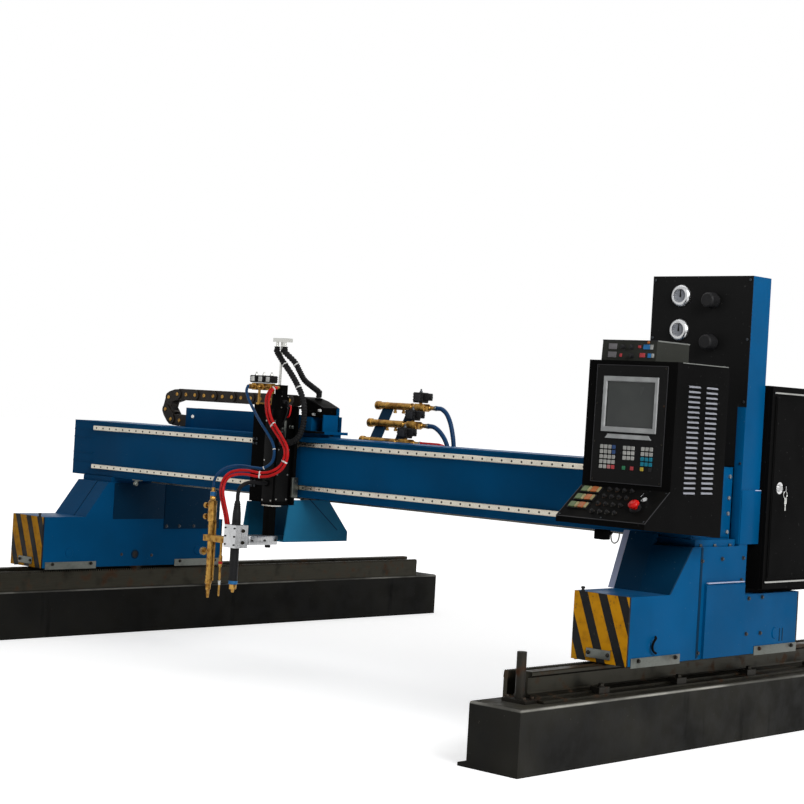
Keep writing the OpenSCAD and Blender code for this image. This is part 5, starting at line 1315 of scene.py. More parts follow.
def cable_ducts():
    """Slotted ducts across the plate: a lid in front and rows of fingers above and below."""
    ducts = Build()
    start, end = DUCT_Y
    for low, high in DUCT_ROWS:
        ducts.box((PLATE_FACE - 0.5, start, low), (PLATE_FACE + 12, end, high))
        ducts.box((DUCT_OUT - 8, start, low - 1), (DUCT_OUT, end, high + 1), 2)
        for i in range((end - start) // DUCT_PITCH):
            y = start + 4 + DUCT_PITCH * i
            for z in (low, high - 3):
                ducts.box((PLATE_FACE + 11, y, z), (DUCT_OUT - 7, y + 7, z + 3), 0.5)
    ducts.done("cable_ducts", pale_key, "electrics")


drive_fronts()
breaker_row()
terminal_row()
cable_ducts()


# Console: places are across and up on its face, its desk and the height control box

def plane(place, back, rise):
    """Frame of a front that leans back by one length over a rise."""
    return Matrix.Translation(place) @ Matrix.Rotation(math.pi / 2 - math.atan2(back, rise), 4, "X")


CONSOLE_SIDE = box_mm("console_shell")[1].x
CONSOLE_MIDDLE = 2029
FACE = plane((CONSOLE_MIDDLE, -1263, 1118), 6, 534)
DESK = plane((CONSOLE_MIDDLE, -1430, 988), 167, 130)
HEIGHT_FRONT = plane((1988, -1237, 1652), 6, 86)
FASCIA_OUT = 3
KEY_SIZE = 16
KEY_STEP = 21
KEY_TOP = 161
KEY_HIGH = 2.5
KEY_BLOCKS = {"left": -139, "middle": -20, "right": 72}
FUNCTION_STRIP = [(-118, 206), (118, 206), (104, 224), (-104, 224)]
# Outer and inner half sizes, height and place up the face of each rim
SCREEN_BEZEL = ((139, 117), (122, 95.5), 7, 350)
FASCIA_RIM = ((182, 249), (178, 245), 1.6, 267)
FASCIA_SCREWS = [on(FACE, u, v, FASCIA_OUT) for u in (-171, 171) for v in (30, 190, 350, 505)]


def key_colour(block, column, row):
    """Finish of a key by its place in its block."""
    if block == "left" and column == 3 and row in (0, 1):
        return blue_plastic
    if block == "left" and column >= 2 and row == 4:
        return dull_red if column == 3 else pink_plastic
    if block == "middle" and row == 4:
        return green_key if column == 0 else dull_red
    if block == "right" and row in (2, 3):
        return cyan_plastic
    if block == "right" and row == 4:
        return yellow_plastic if column == 0 else black_plastic
    return grey_plastic


def console_keys():
    """Three blocks of keys, one piece for each colour."""
    keys = [("left", i, k) for i in range(4) for k in range(5)]
    keys += [("middle", i, k) for i in range(3) for k in range(3)] + [("middle", i, 4) for i in (0, 2)]
    keys += [("right", i, k) for i in range(3) for k in range(4)] + [("right", i, 4) for i in (0, 2)]
    half = KEY_SIZE / 2
    builds = {}
    for block, column, row in keys:
        build = builds.setdefault(key_colour(block, column, row), Build())
        u = KEY_BLOCKS[block] + column * KEY_STEP + half
        v = KEY_TOP - row * KEY_STEP + half
        build.prism(round_rectangle(half, half, 2.5), KEY_HIGH + 1, on(FACE, u, v, FASCIA_OUT), 0.8)
    for material, build in builds.items():
        build.done(f"keys_{material.name}", material, "key_film", "gantry",
                   ["keypads"] if material == grey_plastic else ())


def bezel(outer, inner, high, v):
    """Rectangular rim on the face; outer and inner are half sizes."""
    low, high = FASCIA_OUT - 0.2, FASCIA_OUT + high
    shoulder = (outer[0] - 1, outer[1] - 1)
    mouth = (inner[0] + 3, inner[1] + 3)
    rims = ((outer, low), (shoulder, high), (mouth, high), (inner, low))
    return Build().hoop([rectangle(half, z) for half, z in rims], on(FACE, 0, v))


def console_front():
    """Screen bezel, function strip, rim and screws of the fascia."""
    bezel(*SCREEN_BEZEL).done("screen_bezel", bezel_grey, "key_film")
    strip = Build().prism(FUNCTION_STRIP, 4, on(FACE, 0, 0, FASCIA_OUT - 0.2), 1)
    strip.done("function_strip", bezel_grey, "key_film")
    bezel(*FASCIA_RIM).done("fascia_rim", fascia_edge, "black_paint")
    Build().many(Build.cap_screw, FASCIA_SCREWS, 8, 2.4).done(
        "fascia_screws", dark_iron, "machined_steel")


LOUVRES = 22
LOUVRE_PITCH = 21
LOUVRE_LONG = 70
LOUVRE_TOP = 1552
LOUVRE_Y = (-1162, -1032)
# Section of a hood, and how full it is along its length
HOOD = [(-0.5, 8), (3.0, 6.8), (6.5, 3.4), (7.6, 0.0), (6.6, -0.4), (5.6, 2.6), (2.6, 5.4), (-0.5, 6.4)]
HOOD_SWELL = [(-6, 0.08), (-3, 0.7), (2, 1), (LOUVRE_LONG - 2, 1), (LOUVRE_LONG + 3, 0.7),
              (LOUVRE_LONG + 6, 0.08)]


def louvre_hoods():
    """Pressed hoods over the slots, open downwards, in light grey for the light they catch from above:
    painted highlight.
    """
    build = Build()
    for y in LOUVRE_Y:
        for i in range(LOUVRES):
            z = LOUVRE_TOP - LOUVRE_PITCH * i
            build.loft([[(CONSOLE_SIDE + px * swell, y + along, z + pz) for px, pz in HOOD]
                        for along, swell in HOOD_SWELL])
    build.done("louvre_hoods", louvre_highlight_grey, "black_paint")


ROCKER_U = -153
ROCKER_V = {"rocker_front": 74, "rocker_middle": 127, "rocker_rear": 180}
# Place across, width, finish and name of each field of a twin rocker
ROCKER_FIELDS = [(-31, 30, green_plastic, "green"), (-8, 12, cream_plastic, "cream_left"),
                 (17, 30, orange_plastic, "orange"), (40, 12, cream_plastic, "cream_right")]


def rocker_caps():
    """Coloured lenses with bare cream fields on each twin rocker."""
    for body, v in ROCKER_V.items():
        for u, wide, material, word in ROCKER_FIELDS:
            outline = round_rectangle(wide / 2, 17, 5.5, 5)
            Build().prism(outline, 5, on(DESK, ROCKER_U + u, v, 5.2), 1.4).done(
                f"{body}_{word}", material, "rocker_plastic", body)


SWITCH_U = (-66, -28, 10, 48)
SWITCH_V = (46, 96, 146, 192)
SWITCH_KNOB = [(7.4, 0), (7.4, 9), (6.4, 11), (0, 11)]
DESK_HALF = 225
DESK_DEEP = 211
DESK_SCREWS = [on(DESK, u, v) for u in (-214, 0, 214) for v in (12, 200)]
ESTOP_PLACE = on(DESK, 128, 88)
ESTOP_COLLAR = (25, 12, 0, 6)


def desk_switches():
    """Rows of small switches, collar of the emergency stop, screws and edges of the desk."""
    knobs, rings = Build(), Build()
    for u in SWITCH_U:
        for v in SWITCH_V:
            place = on(DESK, u, v)
            rings.washer(11, 7.5, 0, 2, place, 24)
            knobs.lathe(SWITCH_KNOB, place, 20).box((-1.4, -6.4, 10), (1.4, 6.4, 14), 0.6, place)
    knobs.done("desk_switches", black_plastic, "black_paint")
    rings.done("desk_switch_rings", dark_iron, "machined_steel")
    Build().washer(*ESTOP_COLLAR, ESTOP_PLACE, 36).done("estop_collar", black_plastic, "black_paint")
    Build().many(Build.cap_screw, DESK_SCREWS, 7, 2.5).done("desk_screws", bolt_steel, "zinc")
    edges = Build()
    for u in (-DESK_HALF, DESK_HALF):
        edges.box((u - 1.5, 0, -1), (u + 1.5, DESK_DEEP, 1.6), 0.5, DESK)
    edges.box((-DESK_HALF - 1, -1, -1), (DESK_HALF + 1, 2, 1.6), 0.5, DESK)
    edges.done("desk_edges", fascia_edge, "black_paint")


SOCKET = [(9, 0), (9, 5), (6, 8), (6, 12), (0, 12)]
SOCKET_PLACE = (2010, -1318, 936)
SOCKET_BOX = ((1938, -1340, 900), (1992, -1296, 941))
DESK_WIRE = [(2010, -1318, 926), (2011, -1317, 910), (2012, -1310, 894), (2016, -1298, 888),
             (2022, -1286, 896), (2024, -1280, 912), (2024, -1278, 928)]


def console_underside():
    """Small socket box under the desk, with a short wire."""
    Build().box(*SOCKET_BOX, 3).lathe(SOCKET, aim(SOCKET_PLACE, DOWN), 20).done(
        "desk_socket", black, "black_paint")
    Build().tube(smooth_path(DESK_WIRE), 3, 10).done("desk_wire", grey_plastic, "hose_rubber")


# Left, right, low and high ends of the fields on the height control box
HEIGHT_FIELDS = {
    "displays": (display_grey, [(-106, -64, 48, 72), (-106, -64, 13, 37)]),
    "keys_blue": (sky_plastic, [(72, 104, 50, 70), (98, 114, 15, 33)]),
    "keys_white": (pale_key, [(107, 122, 50, 70), (117, 129, 15, 33)]),
    "keys_red": (dull_red, [(57, 84, 16, 34), (46, 60, 55, 66), (-46, -34, 16, 30)]),
}
HEIGHT_KNOBS = [(-30, 58), (12, 58), (16, 22)]
HEIGHT_KNOB = [(12, 0), (12, 3), (9, 4), (8, 14), (7, 15.5), (0, 15.5)]
HEIGHT_LAMP = [(6, 0), (6, 3), (4.5, 6), (0, 7.5)]
LAMP_PLACE = on(HEIGHT_FRONT, 96, 79)
# Opposite corners of the box's lid, and of the pale strips along its edge and along the console's upper edge
HEIGHT_LID = ((1846, -1233, 1736), (2130, -995, 1740))
PALE_EDGE_STRIPS = [((2128, -1229, 1735), (2131, -996, 1740.6)),
              ((CONSOLE_SIDE - 2, -1222, 1649), (CONSOLE_SIDE + 1, -882, 1652.6))]


def height_box_front():
    """Displays, keys, knobs, lamp and lid of the height control box, and the pale strips along the edges
    beside it.
    """
    for name, (material, fields) in HEIGHT_FIELDS.items():
        build = Build()
        for u0, u1, v0, v1 in fields:
            build.box((u0, v0, -0.2), (u1, v1, 3), 1, HEIGHT_FRONT)
        build.done(f"height_{name}", material, "key_film")
    knobs = Build()
    for u, v in HEIGHT_KNOBS:
        knobs.lathe(HEIGHT_KNOB, on(HEIGHT_FRONT, u, v))
    knobs.done("height_knobs", black_plastic, "black_paint")
    Build().lathe(HEIGHT_LAMP, LAMP_PLACE, 20).done("height_lamp", orange_plastic, "rocker_plastic")
    Build().box(*HEIGHT_LID, 1.5).done("height_lid", fascia_edge, "black_paint")
    Build().boxes(PALE_EDGE_STRIPS, 0.8).done("console_pale_edges", edge_pale_grey, "black_paint")


console_keys()
console_front()
louvre_hoods()
rocker_caps()
desk_switches()
console_underside()
height_box_front()


# Carriage

BANK_X = -681
BANK_Y = -930
BANK_Z = 1468
BANK_FOOT_Z = 1376
COIL_X = (-631, -573, -515)
STAND_X = (-602, -495)
STAND_Y = (-939, -897)
STAND_HALF = 12
BANK_PIPE = [(11, 0), (14, 2), (14, 12), (12, 14), (12, 196), (14, 198), (14, 210), (10, 213)]
BANK_STAND = [(9, 0), (9, 6), (7, 8), (7, 78), (10, 80), (10, 92)]
HOSE_TAIL = [(7, 0), (7, 5), (8, 6), (6, 9), (8, 10), (6, 13)]
COIL_STUD = [(4.5, 6), (4.5, 17), (3.6, 18.5)]


def coil(bodies, labels, studs, place, half, deep, high):
    """Solenoid coil: ribbed body, bare label, nut and stud; local Z is up."""
    bodies.box((-half, -deep, 0), (half, deep, high), 3, place)
    for k in range(3):
        z = high * (0.2 + 0.28 * k)
        bodies.box((-half - 1.2, -deep - 1.2, z), (half + 1.2, deep + 1.2, z + high * 0.12), 1.5, place)
    wide = half * 0.62
    labels.box((-wide, -deep - 2.2, high * 0.16), (wide, -deep - 1.0, high * 0.84), 0.6, place)
    top = on(place, 0, 0, high)
    studs.hex_bolt(top, 14, 7).lathe(COIL_STUD, top, 16)


def solenoid_details():
    """Brass block with fittings under three black coils."""
    metal, coils, labels, studs = Build(), Build(), Build(), Build()
    metal.lathe(BANK_PIPE, aim((BANK_X, BANK_Y, BANK_Z), RIGHT))
    for x in STAND_X:
        metal.lathe(BANK_STAND, aim((x, BANK_Y, BANK_FOOT_Z), UP), 16)
        metal.box((x - STAND_HALF, STAND_Y[0], BANK_FOOT_Z - 1),
                  (x + STAND_HALF, STAND_Y[1], BANK_FOOT_Z + 9))
    for x in COIL_X:
        metal.box((x - 17, BANK_Y - 17, BANK_Z - 17), (x + 17, BANK_Y + 17, BANK_Z + 20), 3)
        metal.hex_bolt(aim((x, BANK_Y - 16, BANK_Z), FRONT), 19, 11, False)
        metal.lathe(HOSE_TAIL, aim((x, BANK_Y - 27, BANK_Z), FRONT), 16)
        coil(coils, labels, studs, Matrix.Translation((x, BANK_Y, BANK_Z + 22)), 22, 25, 38)
    metal.done("solenoid_body", brass_aged, "brass", "carriage", ["solenoid_bank"])
    coils.done("solenoid_coils", black_plastic, "black_paint", "carriage", ["solenoid_bank"])
    labels.done("solenoid_labels", white_enamel, "key_film", "carriage")
    studs.done("solenoid_studs", zinc, "zinc", "carriage")


LIFTER_FRONT = -1024
LIFTER_RIGHT = -350.5
COVER_T = 3
LIFTER_SKIN = LIFTER_RIGHT - 0.5
COVER_RIGHT = LIFTER_RIGHT + COVER_T
UPPER_RIGHT = -364.5
# Opposite corners of the lifter's covers, and of a strip and a lug on its side
FRONT_COVER = ((-436, LIFTER_FRONT - COVER_T, 872), (-357, LIFTER_FRONT + 0.5, 1306))
SIDE_COVER = ((LIFTER_SKIN, -1016, 880), (COVER_RIGHT, -928, 1160))
SIDE_STRIP = ((COVER_RIGHT, -980, 1206), (LIFTER_RIGHT + 9, -966, 1300))
SIDE_LUG = ((LIFTER_SKIN, -1002, 1236), (LIFTER_RIGHT + 14, -986, 1262))
FRONT_SCREWS = grid(FRONT, (-428, -365), [LIFTER_FRONT - COVER_T], (884, 1090, 1294))
SIDE_SCREWS = grid(RIGHT, [COVER_RIGHT], (-1008, -936), (892, 1020, 1148))
UPPER_SCREWS = grid(RIGHT, [UPPER_RIGHT], (-990, -946), (1366, 1424))
FITTING_PLACE = (LIFTER_SKIN, -934, 1268)
GLAND_PLACE = (LIFTER_RIGHT - 0.3, -1000, 1180)
PLUG_HALF = 9
PLUG_OUT = -346
PLATE_RIGHT = box_mm("carriage_bracket")[1].x
PLATE_FRONT = -916
LIFTER_PLUGS = [(-978, 1396), (-952, 1376)]
LIFTER_FITTING = [(9, 0), (9, 5), (7, 6), (7, 16), (9, 17), (9, 24), (5, 26)]
LIFTER_GLAND = [(13, 0), (13, 9), (9, 11), (9, 22), (5, 24)]
LIFTER_WIRES = [
    [(-346, -978, 1396), (-330, -980, 1398), (-316, -986, 1380), (-316, -990, 1345), (-326, -992, 1310),
     (-344, -990, 1288), (-352, -984, 1276)],
    [(-327, -1000, 1180), (-316, -1004, 1186), (-312, -1008, 1215), (-318, -1008, 1250), (-336, -1002, 1250)]]
RED_WIRE = [(-346, -952, 1376), (-334, -954, 1378), (-322, -962, 1366), (-320, -968, 1340),
            (-330, -966, 1322), (-348, -960, 1318)]


def lifter_details():
    """Covers, screws, connectors and short wires on the lifter."""
    Build().boxes([FRONT_COVER, SIDE_COVER], 2).done(
        "lifter_covers", panel_black, "black_paint", "carriage")
    screws = Build().many(Build.cap_screw, FRONT_SCREWS + SIDE_SCREWS, 9, 3)
    screws.many(Build.cap_screw, UPPER_SCREWS, 7, 3).done("lifter_screws", zinc, "zinc", "carriage")
    fittings = Build().box(*SIDE_STRIP).box(*SIDE_LUG, 2)
    fittings.lathe(LIFTER_FITTING, aim(FITTING_PLACE, RIGHT), 20)
    fittings.done("lifter_fittings", dull_zinc, "zinc", "carriage")
    plugs = Build()
    for y, z in LIFTER_PLUGS:
        plugs.box((UPPER_RIGHT - 0.5, y - PLUG_HALF, z - PLUG_HALF),
                  (PLUG_OUT, y + PLUG_HALF, z + PLUG_HALF), 2)
    plugs.lathe(LIFTER_GLAND, aim(GLAND_PLACE, RIGHT), 20)
    plugs.done("lifter_plugs", black_plastic, "black_paint", "carriage")
    wires = Build()
    for points in LIFTER_WIRES:
        wires.tube(smooth_path(points), 4, 10)
    wires.done("lifter_wires", rubber, "hose_rubber", "carriage")
    Build().tube(smooth_path(RED_WIRE), 4.5, 10).done("lifter_red_wire", red_hose, "hose_rubber", "carriage")


WIPER_MIDDLE = (-396.5, -982)
WIPER_OUTER = (40, 40)
WIPER_INNER = (23.8, 23.8)
WIPER_SHIFT = -18
SLIDE_WIPER_Z = (854, 860.3)
GUIDE_END = ((PLATE_RIGHT, -928, 905), (PLATE_RIGHT + 15, -888, 1008))
GUIDE_END_SCREWS = grid(RIGHT, [PLATE_RIGHT + 15], [-908], (922, 990))
PLATE_SCREWS = grid(FRONT, (-636, -612, -470), [PLATE_FRONT], (945, 969, 1169, 1193))
# X ends, front and rear Y at foot and head, and Z ends of the bracket's fold
BRACKET_FOLD = ((PLATE_RIGHT - 0.3, PLATE_RIGHT + 1.2), (-789, -783), (-569, -563), 897, 731)


def carriage_trim():
    """Wiper of the slide, guide end plate, plate screws and the bracket's fold."""
    low, high = SLIDE_WIPER_Z
    x, y = WIPER_MIDDLE
    outer, inner = Matrix.Translation((x, y, 0)), Matrix.Translation((x, y + WIPER_SHIFT, 0))
    corners = ((outer, WIPER_OUTER, high), (outer, WIPER_OUTER, low), (inner, WIPER_INNER, low),
               (inner, WIPER_INNER, high))
    Build().hoop([[place @ Vector(p) for p in rectangle(half, z)] for place, half, z in corners]).done(
        "slide_wiper", bright_zinc, "zinc", "carriage")
    Build().box(*GUIDE_END, 2).many(Build.cap_screw, GUIDE_END_SCREWS, 9, 4).done(
        "guide_end_plate", dull_zinc, "zinc", "carriage")
    Build().many(Build.cap_screw, PLATE_SCREWS, 13, 6).done(
        "plate_screws", bolt_steel, "machined_steel", "carriage")
    leaning_sheet(*BRACKET_FOLD).done("bracket_fold", dark_blue, "blue_paint", "carriage")


TERMINAL_REAR = -714
# Turns an outline in local X and Y so that it stands in X and Z
TERMINAL_FRONT = Matrix(((1, 0, 0, 0), (0, 0, -1, TERMINAL_REAR), (0, 1, 0, 0), (0, 0, 0, 1)))
TERMINAL_BODY = [(-366, 1325), (-240, 1325), (-226, 1345), (-226, 1382), (-300, 1412), (-366, 1428)]
TERMINAL_LID = [(-368, 1420), (-300, 1404), (-222, 1374), (-222, 1380), (-299, 1411), (-368, 1429)]
TERMINAL_DEEP = 112
LID_DEEP = 118
LID_SHIFT = 3
# Opposite corners of the upright's plates and of the strips round its shelf
UPRIGHT_PLATES = [((-366, -724, 1253), (-212, TERMINAL_REAR, 1378)),
                  ((-222, -828, 1253), (-212, TERMINAL_REAR, 1340)),
                  ((-366, -828, 1253), (-300, -716, 1326))]
SHELF_STRIPS = [((-324, -833, 1239), (-195, -829.6, 1254)),
                ((-196.6, -832, 1239), (-193.5, -662, 1254))]
TERMINAL_GLANDS = grid(FRONT, (-350, -300, -255), [-826], [1352])
CONDUIT_GLAND_PLACE = (-316.5, -770, 1416)
TERMINAL_LABELS = [((x - 8, -838, z - 7), (x + 8, -825, z + 7)) for x, z in ((-284, 1340), (-242, 1362))]
TERMINAL_GLAND = [(11, 0), (11, 8), (8, 10), (8, 18), (5, 20)]
CONDUIT_GLAND = [(20, 0), (20, 8), (18, 9)]


def junction_details():
    """Terminal box with a lid on a blue upright, in the place of its plain solid."""
    box = Build().prism(TERMINAL_BODY, TERMINAL_DEEP, TERMINAL_FRONT, 2)
    for place in TERMINAL_GLANDS:
        box.lathe(TERMINAL_GLAND, place, 16)
    box.lathe(CONDUIT_GLAND, aim(CONDUIT_GLAND_PLACE, UP))
    box.done("terminal_box", black, "black_paint", "carriage", ["junction_box"])
    Build().prism(TERMINAL_LID, LID_DEEP, Matrix.Translation((0, LID_SHIFT, 0)) @ TERMINAL_FRONT).done(
        "terminal_lid", panel_black, "black_paint", "carriage")
    Build().boxes(UPRIGHT_PLATES, 2).done(
        "terminal_upright", blue, "blue_paint", "carriage", ["junction_box"])
    Build().boxes(SHELF_STRIPS).done("terminal_shelf", blue, "blue_paint", "carriage")
    Build().boxes(TERMINAL_LABELS, 2).done("terminal_labels", white_enamel, "key_film", "carriage")


TIE_W = 7
BLUE_TIE_W = 6
RED_TIES = (14, 40, 62, 78)
BLUE_TIES = (52, 66)


def collar(start, end, inner, outer, slope=1):
    """Profile of a band with sloped rims."""
    return [(inner, start), (outer, start + slope), (outer, end - slope), (inner, end)]


def band(build, path, index, radius, wide):
    """Cable tie round one hose."""
    along = (path[index + 1] - path[index - 1]).normalized()
    place = aim(path[index] - along * wide / 2, along)
    build.lathe(collar(0, wide, radius - 1, radius + 1.2, 0.8), place, 20)


def pair_band(build, first, second, index, radius):
    """Cable tie round two hoses side by side."""
    a, b = first[index], second[index]
    along = (first[index + 1] - first[index - 1]).normalized()
    across = (b - a) - along * (b - a).dot(along)
    half = across.length / 2
    across.normalize()
    turn = Matrix((across, along.cross(across), along)).transposed().to_4x4()
    place = Matrix.Translation((a + b) / 2 - along * TIE_W / 2) @ turn
    outline = arc((half, 0), radius + 1.5, -90, 90, 8) + arc((-half, 0), radius + 1.5, 90, 270, 8)
    build.prism(outline, TIE_W, place, 1)


def hose_ties():
    """White ties round the hoses they hold, and ferrules at the hoses' upper ends."""
    red, pale = Build(), Build()
    for index in RED_TIES:
        pair_band(red, red_left_path, red_right_path, index, HOSE_D / 2)
    for index in BLUE_TIES:
        band(pale, blue_path, index, HOSE_D / 2, BLUE_TIE_W)
    for build, name, low in ((red, "ties_red", HOSE_LOW), (pale, "ties_blue", BLUE_LOW)):
        follow_lift(build.done(name, white_enamel, "key_film", None))
    ends = Build()
    for path, long in ((red_left_path, 15), (red_right_path, 15), (blue_path, 13)):
        ends.lathe(collar(0, long, 8.5, 9.5), aim(path[0] + Vector((0, 1, 0)), FRONT), 16)
    ends.done("hose_ferrules", brass_aged, "brass", "carriage")
    ties = Build()
    for path, share in ((long_path, 0.2), (long_path, 0.42), (short_path, 0.3)):
        band(ties, path, int(len(path) * share), CONDUIT_D / 2, TIE_W)
    ties.done("conduit_ties", white_enamel, "key_film", "carriage")


solenoid_details()
lifter_details()
carriage_trim()
junction_details()
hose_ties()


# Torches

TORCH = Vector((-420.5, TORCH_Y, 0))
OXY = Vector((-608.5, TORCH_Y, 0))
IGNITER = (-510.5, -1217, 0)
SLIDE_X = -396.5
ARM_RIGHT = -356.5
ARM_Z = (657, 703)
BAR_TOP = 689
# Opposite corners of the slide's post and of the arm
POST = ((SLIDE_X - 23, -1023, ARM_Z[1]), (SLIDE_X + 23, -977, 1125))
ARM = ((-436.5, -1165, ARM_Z[0]), (ARM_RIGHT, -969, ARM_Z[1]))
ARM_SCREWS = grid(RIGHT, [ARM_RIGHT], (-1150, -1060, -985), [680])
# Reach to the left, right, front and rear, bore, and Z ends of each clamp
TORCH_CLAMP = ((-44, 44, -40, 44), 23.3, 640, 756)
BAR_CLAMP = ((-30, 145, -26, 26), 16.3, 657, BAR_TOP)
CLAMP_SCREWS = grid(FRONT, (TORCH.x - 34, TORCH.x + 34), [TORCH.y - 40], (656, 698, 740))
CLAMP_BOLTS = grid(RIGHT, [TORCH.x + 44], [TORCH.y + 10], (668, 728))
BAR_NUT_X = (-494.5, -474.5)
ARM_KNOB = [(8, 0), (8, 4), (15, 5), (15, 16), (13, 18), (0, 18)]
BAR_TAIL = [(6, 6), (6, 12), (7.5, 13), (5.5, 16), (7.5, 17), (5.5, 20)]
IGNITER_ROD = [(3, 382), (5, 386), (5, 470), (6, 472), (6, 532), (9, 534), (10, 545), (10, 580), (9, 590),
               (6, 592), (6, 657)]


def split_clamp(build, centre, reach, bore, low, high, gap=1.5):
    """Two halves of a block round a vertical tube; reach is the block's left, right, front and rear."""
    left, right, front, rear = reach
    for sign, far in ((-1, front), (1, rear)):
        near = sign * gap / 2
        start = math.degrees(math.asin(near / bore))
        outline = [(left, near), (left, far), (right, far), (right, near)]
        outline += arc((0, 0), bore, start, sign * 180 - start, 16)
        build.prism(outline, high - low, Matrix.Translation((centre.x, centre.y, low)))


def lift_details():
    """Dark slide post, aluminium arm and torch clamp, brass bar, hose tails and igniter."""
    lift = "torch_lift"
    Build().box(*POST, 2).done("slide_post", black, "black_paint", lift, ["lift_slide"])
    arm = Build().box(*ARM, 3)
    split_clamp(arm, TORCH, *TORCH_CLAMP)
    arm.done("torch_arm", aluminium, "cast_aluminium", lift, ["lift_slide"])
    screws = Build().many(Build.cap_screw, CLAMP_SCREWS, 9, 5).many(Build.cap_screw, ARM_SCREWS, 11, 5)
    screws.many(Build.hex_bolt, CLAMP_BOLTS, 13, 8).done("clamp_screws", dark_iron, "machined_steel", lift)
    Build().lathe(ARM_KNOB, aim((SLIDE_X, -1000, ARM_Z[0]), DOWN)).done(
        "arm_knob", black_plastic, "black_paint", lift)
    bar = Build()
    split_clamp(bar, OXY, *BAR_CLAMP)
    for x in BAR_NUT_X:
        nut = aim((x, TORCH_Y, BAR_TOP), UP)
        bar.hex_bolt(nut, 13, 7, False).lathe(BAR_TAIL, nut, 16)
    bar.done("torch_bar", brass_aged, "brass", lift, ["lift_slide"])
    rod = aim(IGNITER, UP)
    Build().lathe(IGNITER_ROD, rod, 20).done("igniter", brass_aged, "brass", lift, ["lift_slide"])
    Build().lathe(collar(548, 561, 10.4, 11), rod, 20).done("igniter_band", red_plastic, "red_plastic", lift)
    Build().lathe(collar(440, 463, 5.2, 6.6), rod, 20).done("igniter_sleeve", white_enamel, "key_film", lift)


SHIELD_Z = 412
SHIELD = [(6.4, -0.6), (9.6, 14), (18.6, 16), (19.6, 30), (19.6, 40), (10, 41)]
COLLAR_Z = 453
PLASMA_COLLAR = [(22, 0), (23.9, 1.5), (23.9, 16), (23, 18)]
BOOT_RIBS = 9
BOOT_Z = 770
BOOT_PITCH = 11
BOOT_R = 21.6
BOOT_TAPER = 0.75
# Height and radius of the bands on the oxy-fuel torch, and its tubes' sides and heights
OXY_BANDS = [(470, 18), (560, 17.5), (620, 17.5), (730, 17.5)]
OXY_RIMS = (806, 848)
OXY_NUT_Z = 872
OXY_TUBE_X = 17
OXY_TUBE_Y = (12, -12)
OXY_TUBE_RUNS = [(452, 500, 560, 620, 656), (690, 720, 750, 766)]
GRIP_X = -669
GRIP_Z = 600
GRIP_R = 19
GRIP_RIBS = 12
GRIP_RIB = [(2.4, 0), (2.4, 15), (1.2, 16.5)]
GRIP_CAP = [(15, -2), (17, 0), (17, 3), (12, 4)]


def torch_details():
    """Shield, collar and rings of the plasma torch; bands, nut, tubes and grip of the oxy-fuel torch."""
    lift = "torch_lift"
    Build().lathe(SHIELD, aim(TORCH + Vector((0, 0, SHIELD_Z)), UP), 32).done(
        "plasma_shield", copper, "brass", lift)
    Build().lathe(PLASMA_COLLAR, aim(TORCH + Vector((0, 0, COLLAR_Z)), UP), 32).done(
        "plasma_collar", sky_plastic, "blue_hose", lift)
    ribs = Build()
    for k in range(BOOT_RIBS):
        r = BOOT_R - k * BOOT_TAPER
        rib = [(r, 0), (r + 1.4, 1.2), (r + 1.4, 4.5), (r, 6)]
        ribs.lathe(rib, aim(TORCH + Vector((0, 0, BOOT_Z + k * BOOT_PITCH)), UP))
    ribs.done("plasma_boot_ribs", rubber, "torch_body", lift)
    up = aim(OXY, UP)
    Build().lathe(collar(889, 912, 15, 16), up).done("oxy_band", sky_plastic, "blue_hose", lift)
    fittings = Build()
    for z, r in OXY_BANDS:
        fittings.lathe(collar(z, z + 9, r - 2, r), up)
    for z in OXY_RIMS:
        fittings.lathe(collar(z, z + 6, 22, 23.4), up)
    fittings.hex_bolt(aim(OXY + Vector((0, 0, OXY_NUT_Z)), UP), 27, 15, False)
    fittings.done("oxy_fittings", brass_turned, "brass", lift)
    tubes = Build()
    for y in OXY_TUBE_Y:
        for heights in OXY_TUBE_RUNS:
            tubes.tube([OXY + Vector((OXY_TUBE_X, y, z)) for z in heights], 5.5)
    tubes.done("oxy_tubes", brass_aged, "brass", lift)
    grip = Build()
    for y, z, _ in circle(GRIP_R, 0, GRIP_RIBS):
        grip.lathe(GRIP_RIB, aim((GRIP_X, TORCH_Y + y, GRIP_Z + z), RIGHT), 8)
    grip.lathe(GRIP_CAP, aim((GRIP_X + 0.5, TORCH_Y, GRIP_Z), LEFT))
    grip.done("clamp_knob_grip", dull_zinc, "zinc", lift)


lift_details()
torch_details()


# Gas manifold behind the beam

MANIFOLD_X = -225
TUBE = [(14, 0), (20, 1), (23, 4), (23, 26), (21, 30), (19, 31), (19, 74), (20.2, 75), (20.2, 79), (19, 80),
        (19, 250), (20.5, 251), (20.5, 259), (17, 261), (14, 263), (14, 290)]
TAIL = [(13, 0), (13, 8), (10, 10), (10, 20), (11.5, 21), (11.5, 30), (10, 36)]
DRAIN_X = (-89, -29)
DRAIN = [(7, 0), (7, 8), (9.5, 9), (9.5, 17), (6, 19)]
VALVE_NECK = [(9, 0), (9, 6)]
COIL_GLAND = [(9, 0), (9, 8), (6, 10)]
STAY_X = ((-175, -109), (5, 71))
STAY_OUTLINE = [(-560, 1111), (-550, 1111), (-516, 1189), (-400, 1415), (-412, 1421), (-532, 1201),
                (-560, 1177)]
SHELF_Z = 1111
HOSE_SHELF = ((320, -560, SHELF_Z - 14), (423, -400, SHELF_Z))
VALVE_X = 88
BLOCK_X = (65, 135)
BLOCK_HALF = (25, 20)
PLUG_X = (121, 158)
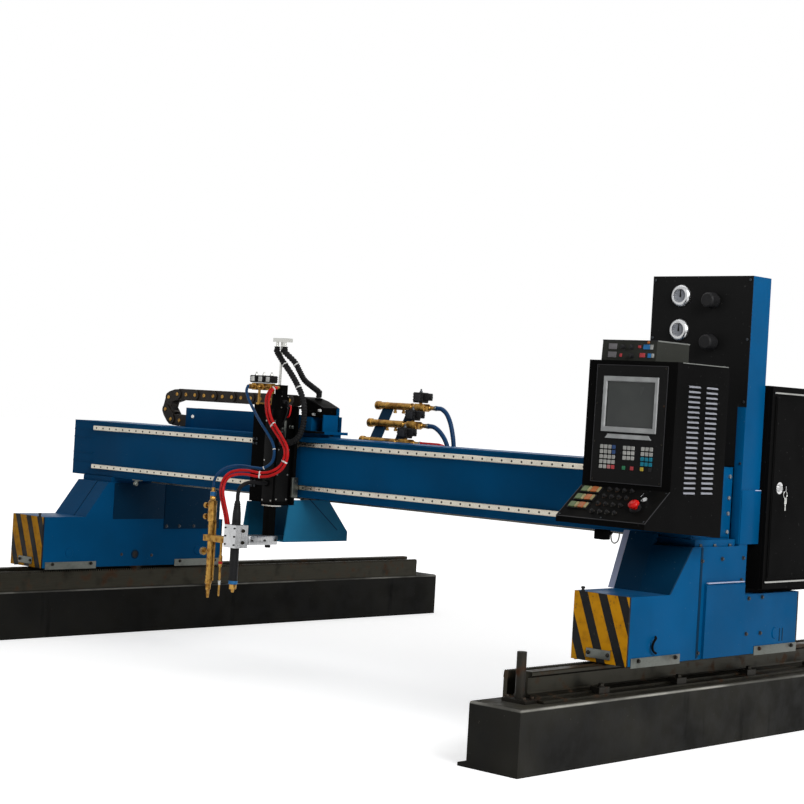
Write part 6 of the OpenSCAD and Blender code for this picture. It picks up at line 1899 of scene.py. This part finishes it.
# Turns an outline in local X and Y so that it stands in Y and Z
SIDE_FRAME = Matrix(((0, 0, 1, 0), (1, 0, 0, 0), (0, 1, 0, 0), (0, 0, 0, 1)))


def manifold_details():
    """Three brass tubes with black valves on leaning stays, and the hoses' clips."""
    metal, coils, labels, studs = Build(), Build(), Build(), Build()
    for y, z in TUBE_PLACES:
        metal.lathe(TUBE, aim((MANIFOLD_X, y, z), RIGHT), 28)
        metal.box((BLOCK_X[0], y - BLOCK_HALF[0], z - BLOCK_HALF[1]),
                  (BLOCK_X[1], y + BLOCK_HALF[0], z + BLOCK_HALF[1]), 4)
        metal.hex_bolt(aim((BLOCK_X[1] - 1, y, z), RIGHT), 33, 20, False)
        metal.lathe(TAIL, aim((BLOCK_X[1] + 19, y, z), RIGHT), 20)
        for x in DRAIN_X:
            metal.lathe(DRAIN, aim((x, y, z - 18), DOWN), 16)
        metal.lathe(VALVE_NECK, aim((VALVE_X + 2, y, z + 19), UP), 20)
        coil(coils, labels, studs, Matrix.Translation((VALVE_X, y, z + 25)), 33, 25, 54)
        coils.box((PLUG_X[0], y - 17, z + 38), (PLUG_X[1], y + 17, z + 76), 3)
        coils.lathe(COIL_GLAND, aim((PLUG_X[1] - 1, y, z + 54), RIGHT), 16)
    metal.done("manifold_tubes", brass_aged, "brass", "gantry", ["gas_manifold"])
    coils.done("manifold_coils", black_plastic, "black_paint", "gantry", ["gas_manifold"])
    labels.done("manifold_labels", dark_grey, "black_paint")
    studs.done("manifold_studs", bolt_steel, "zinc")
    stays = Build()
    for x0, x1 in STAY_X:
        stays.prism(STAY_OUTLINE, x1 - x0, Matrix.Translation((x0, 0, 0)) @ SIDE_FRAME)
    stays.box(*HOSE_SHELF, 2)
    stays.done("manifold_stays", dark_blue, "blue_paint", "gantry", ["gas_manifold"])
    clips = Build()
    for x, (y, _) in zip(CLIP_X, TUBE_PLACES):
        clips.lathe(collar(0, 10, 12.2, 15), aim((x, y, SHELF_Z), UP), 20)
    for path in gas_paths:
        clips.lathe(collar(2, 14, 12.2, 13.6), aim(path[0], RIGHT), 20)
    clips.done("hose_clips", dull_zinc, "zinc")


manifold_details()
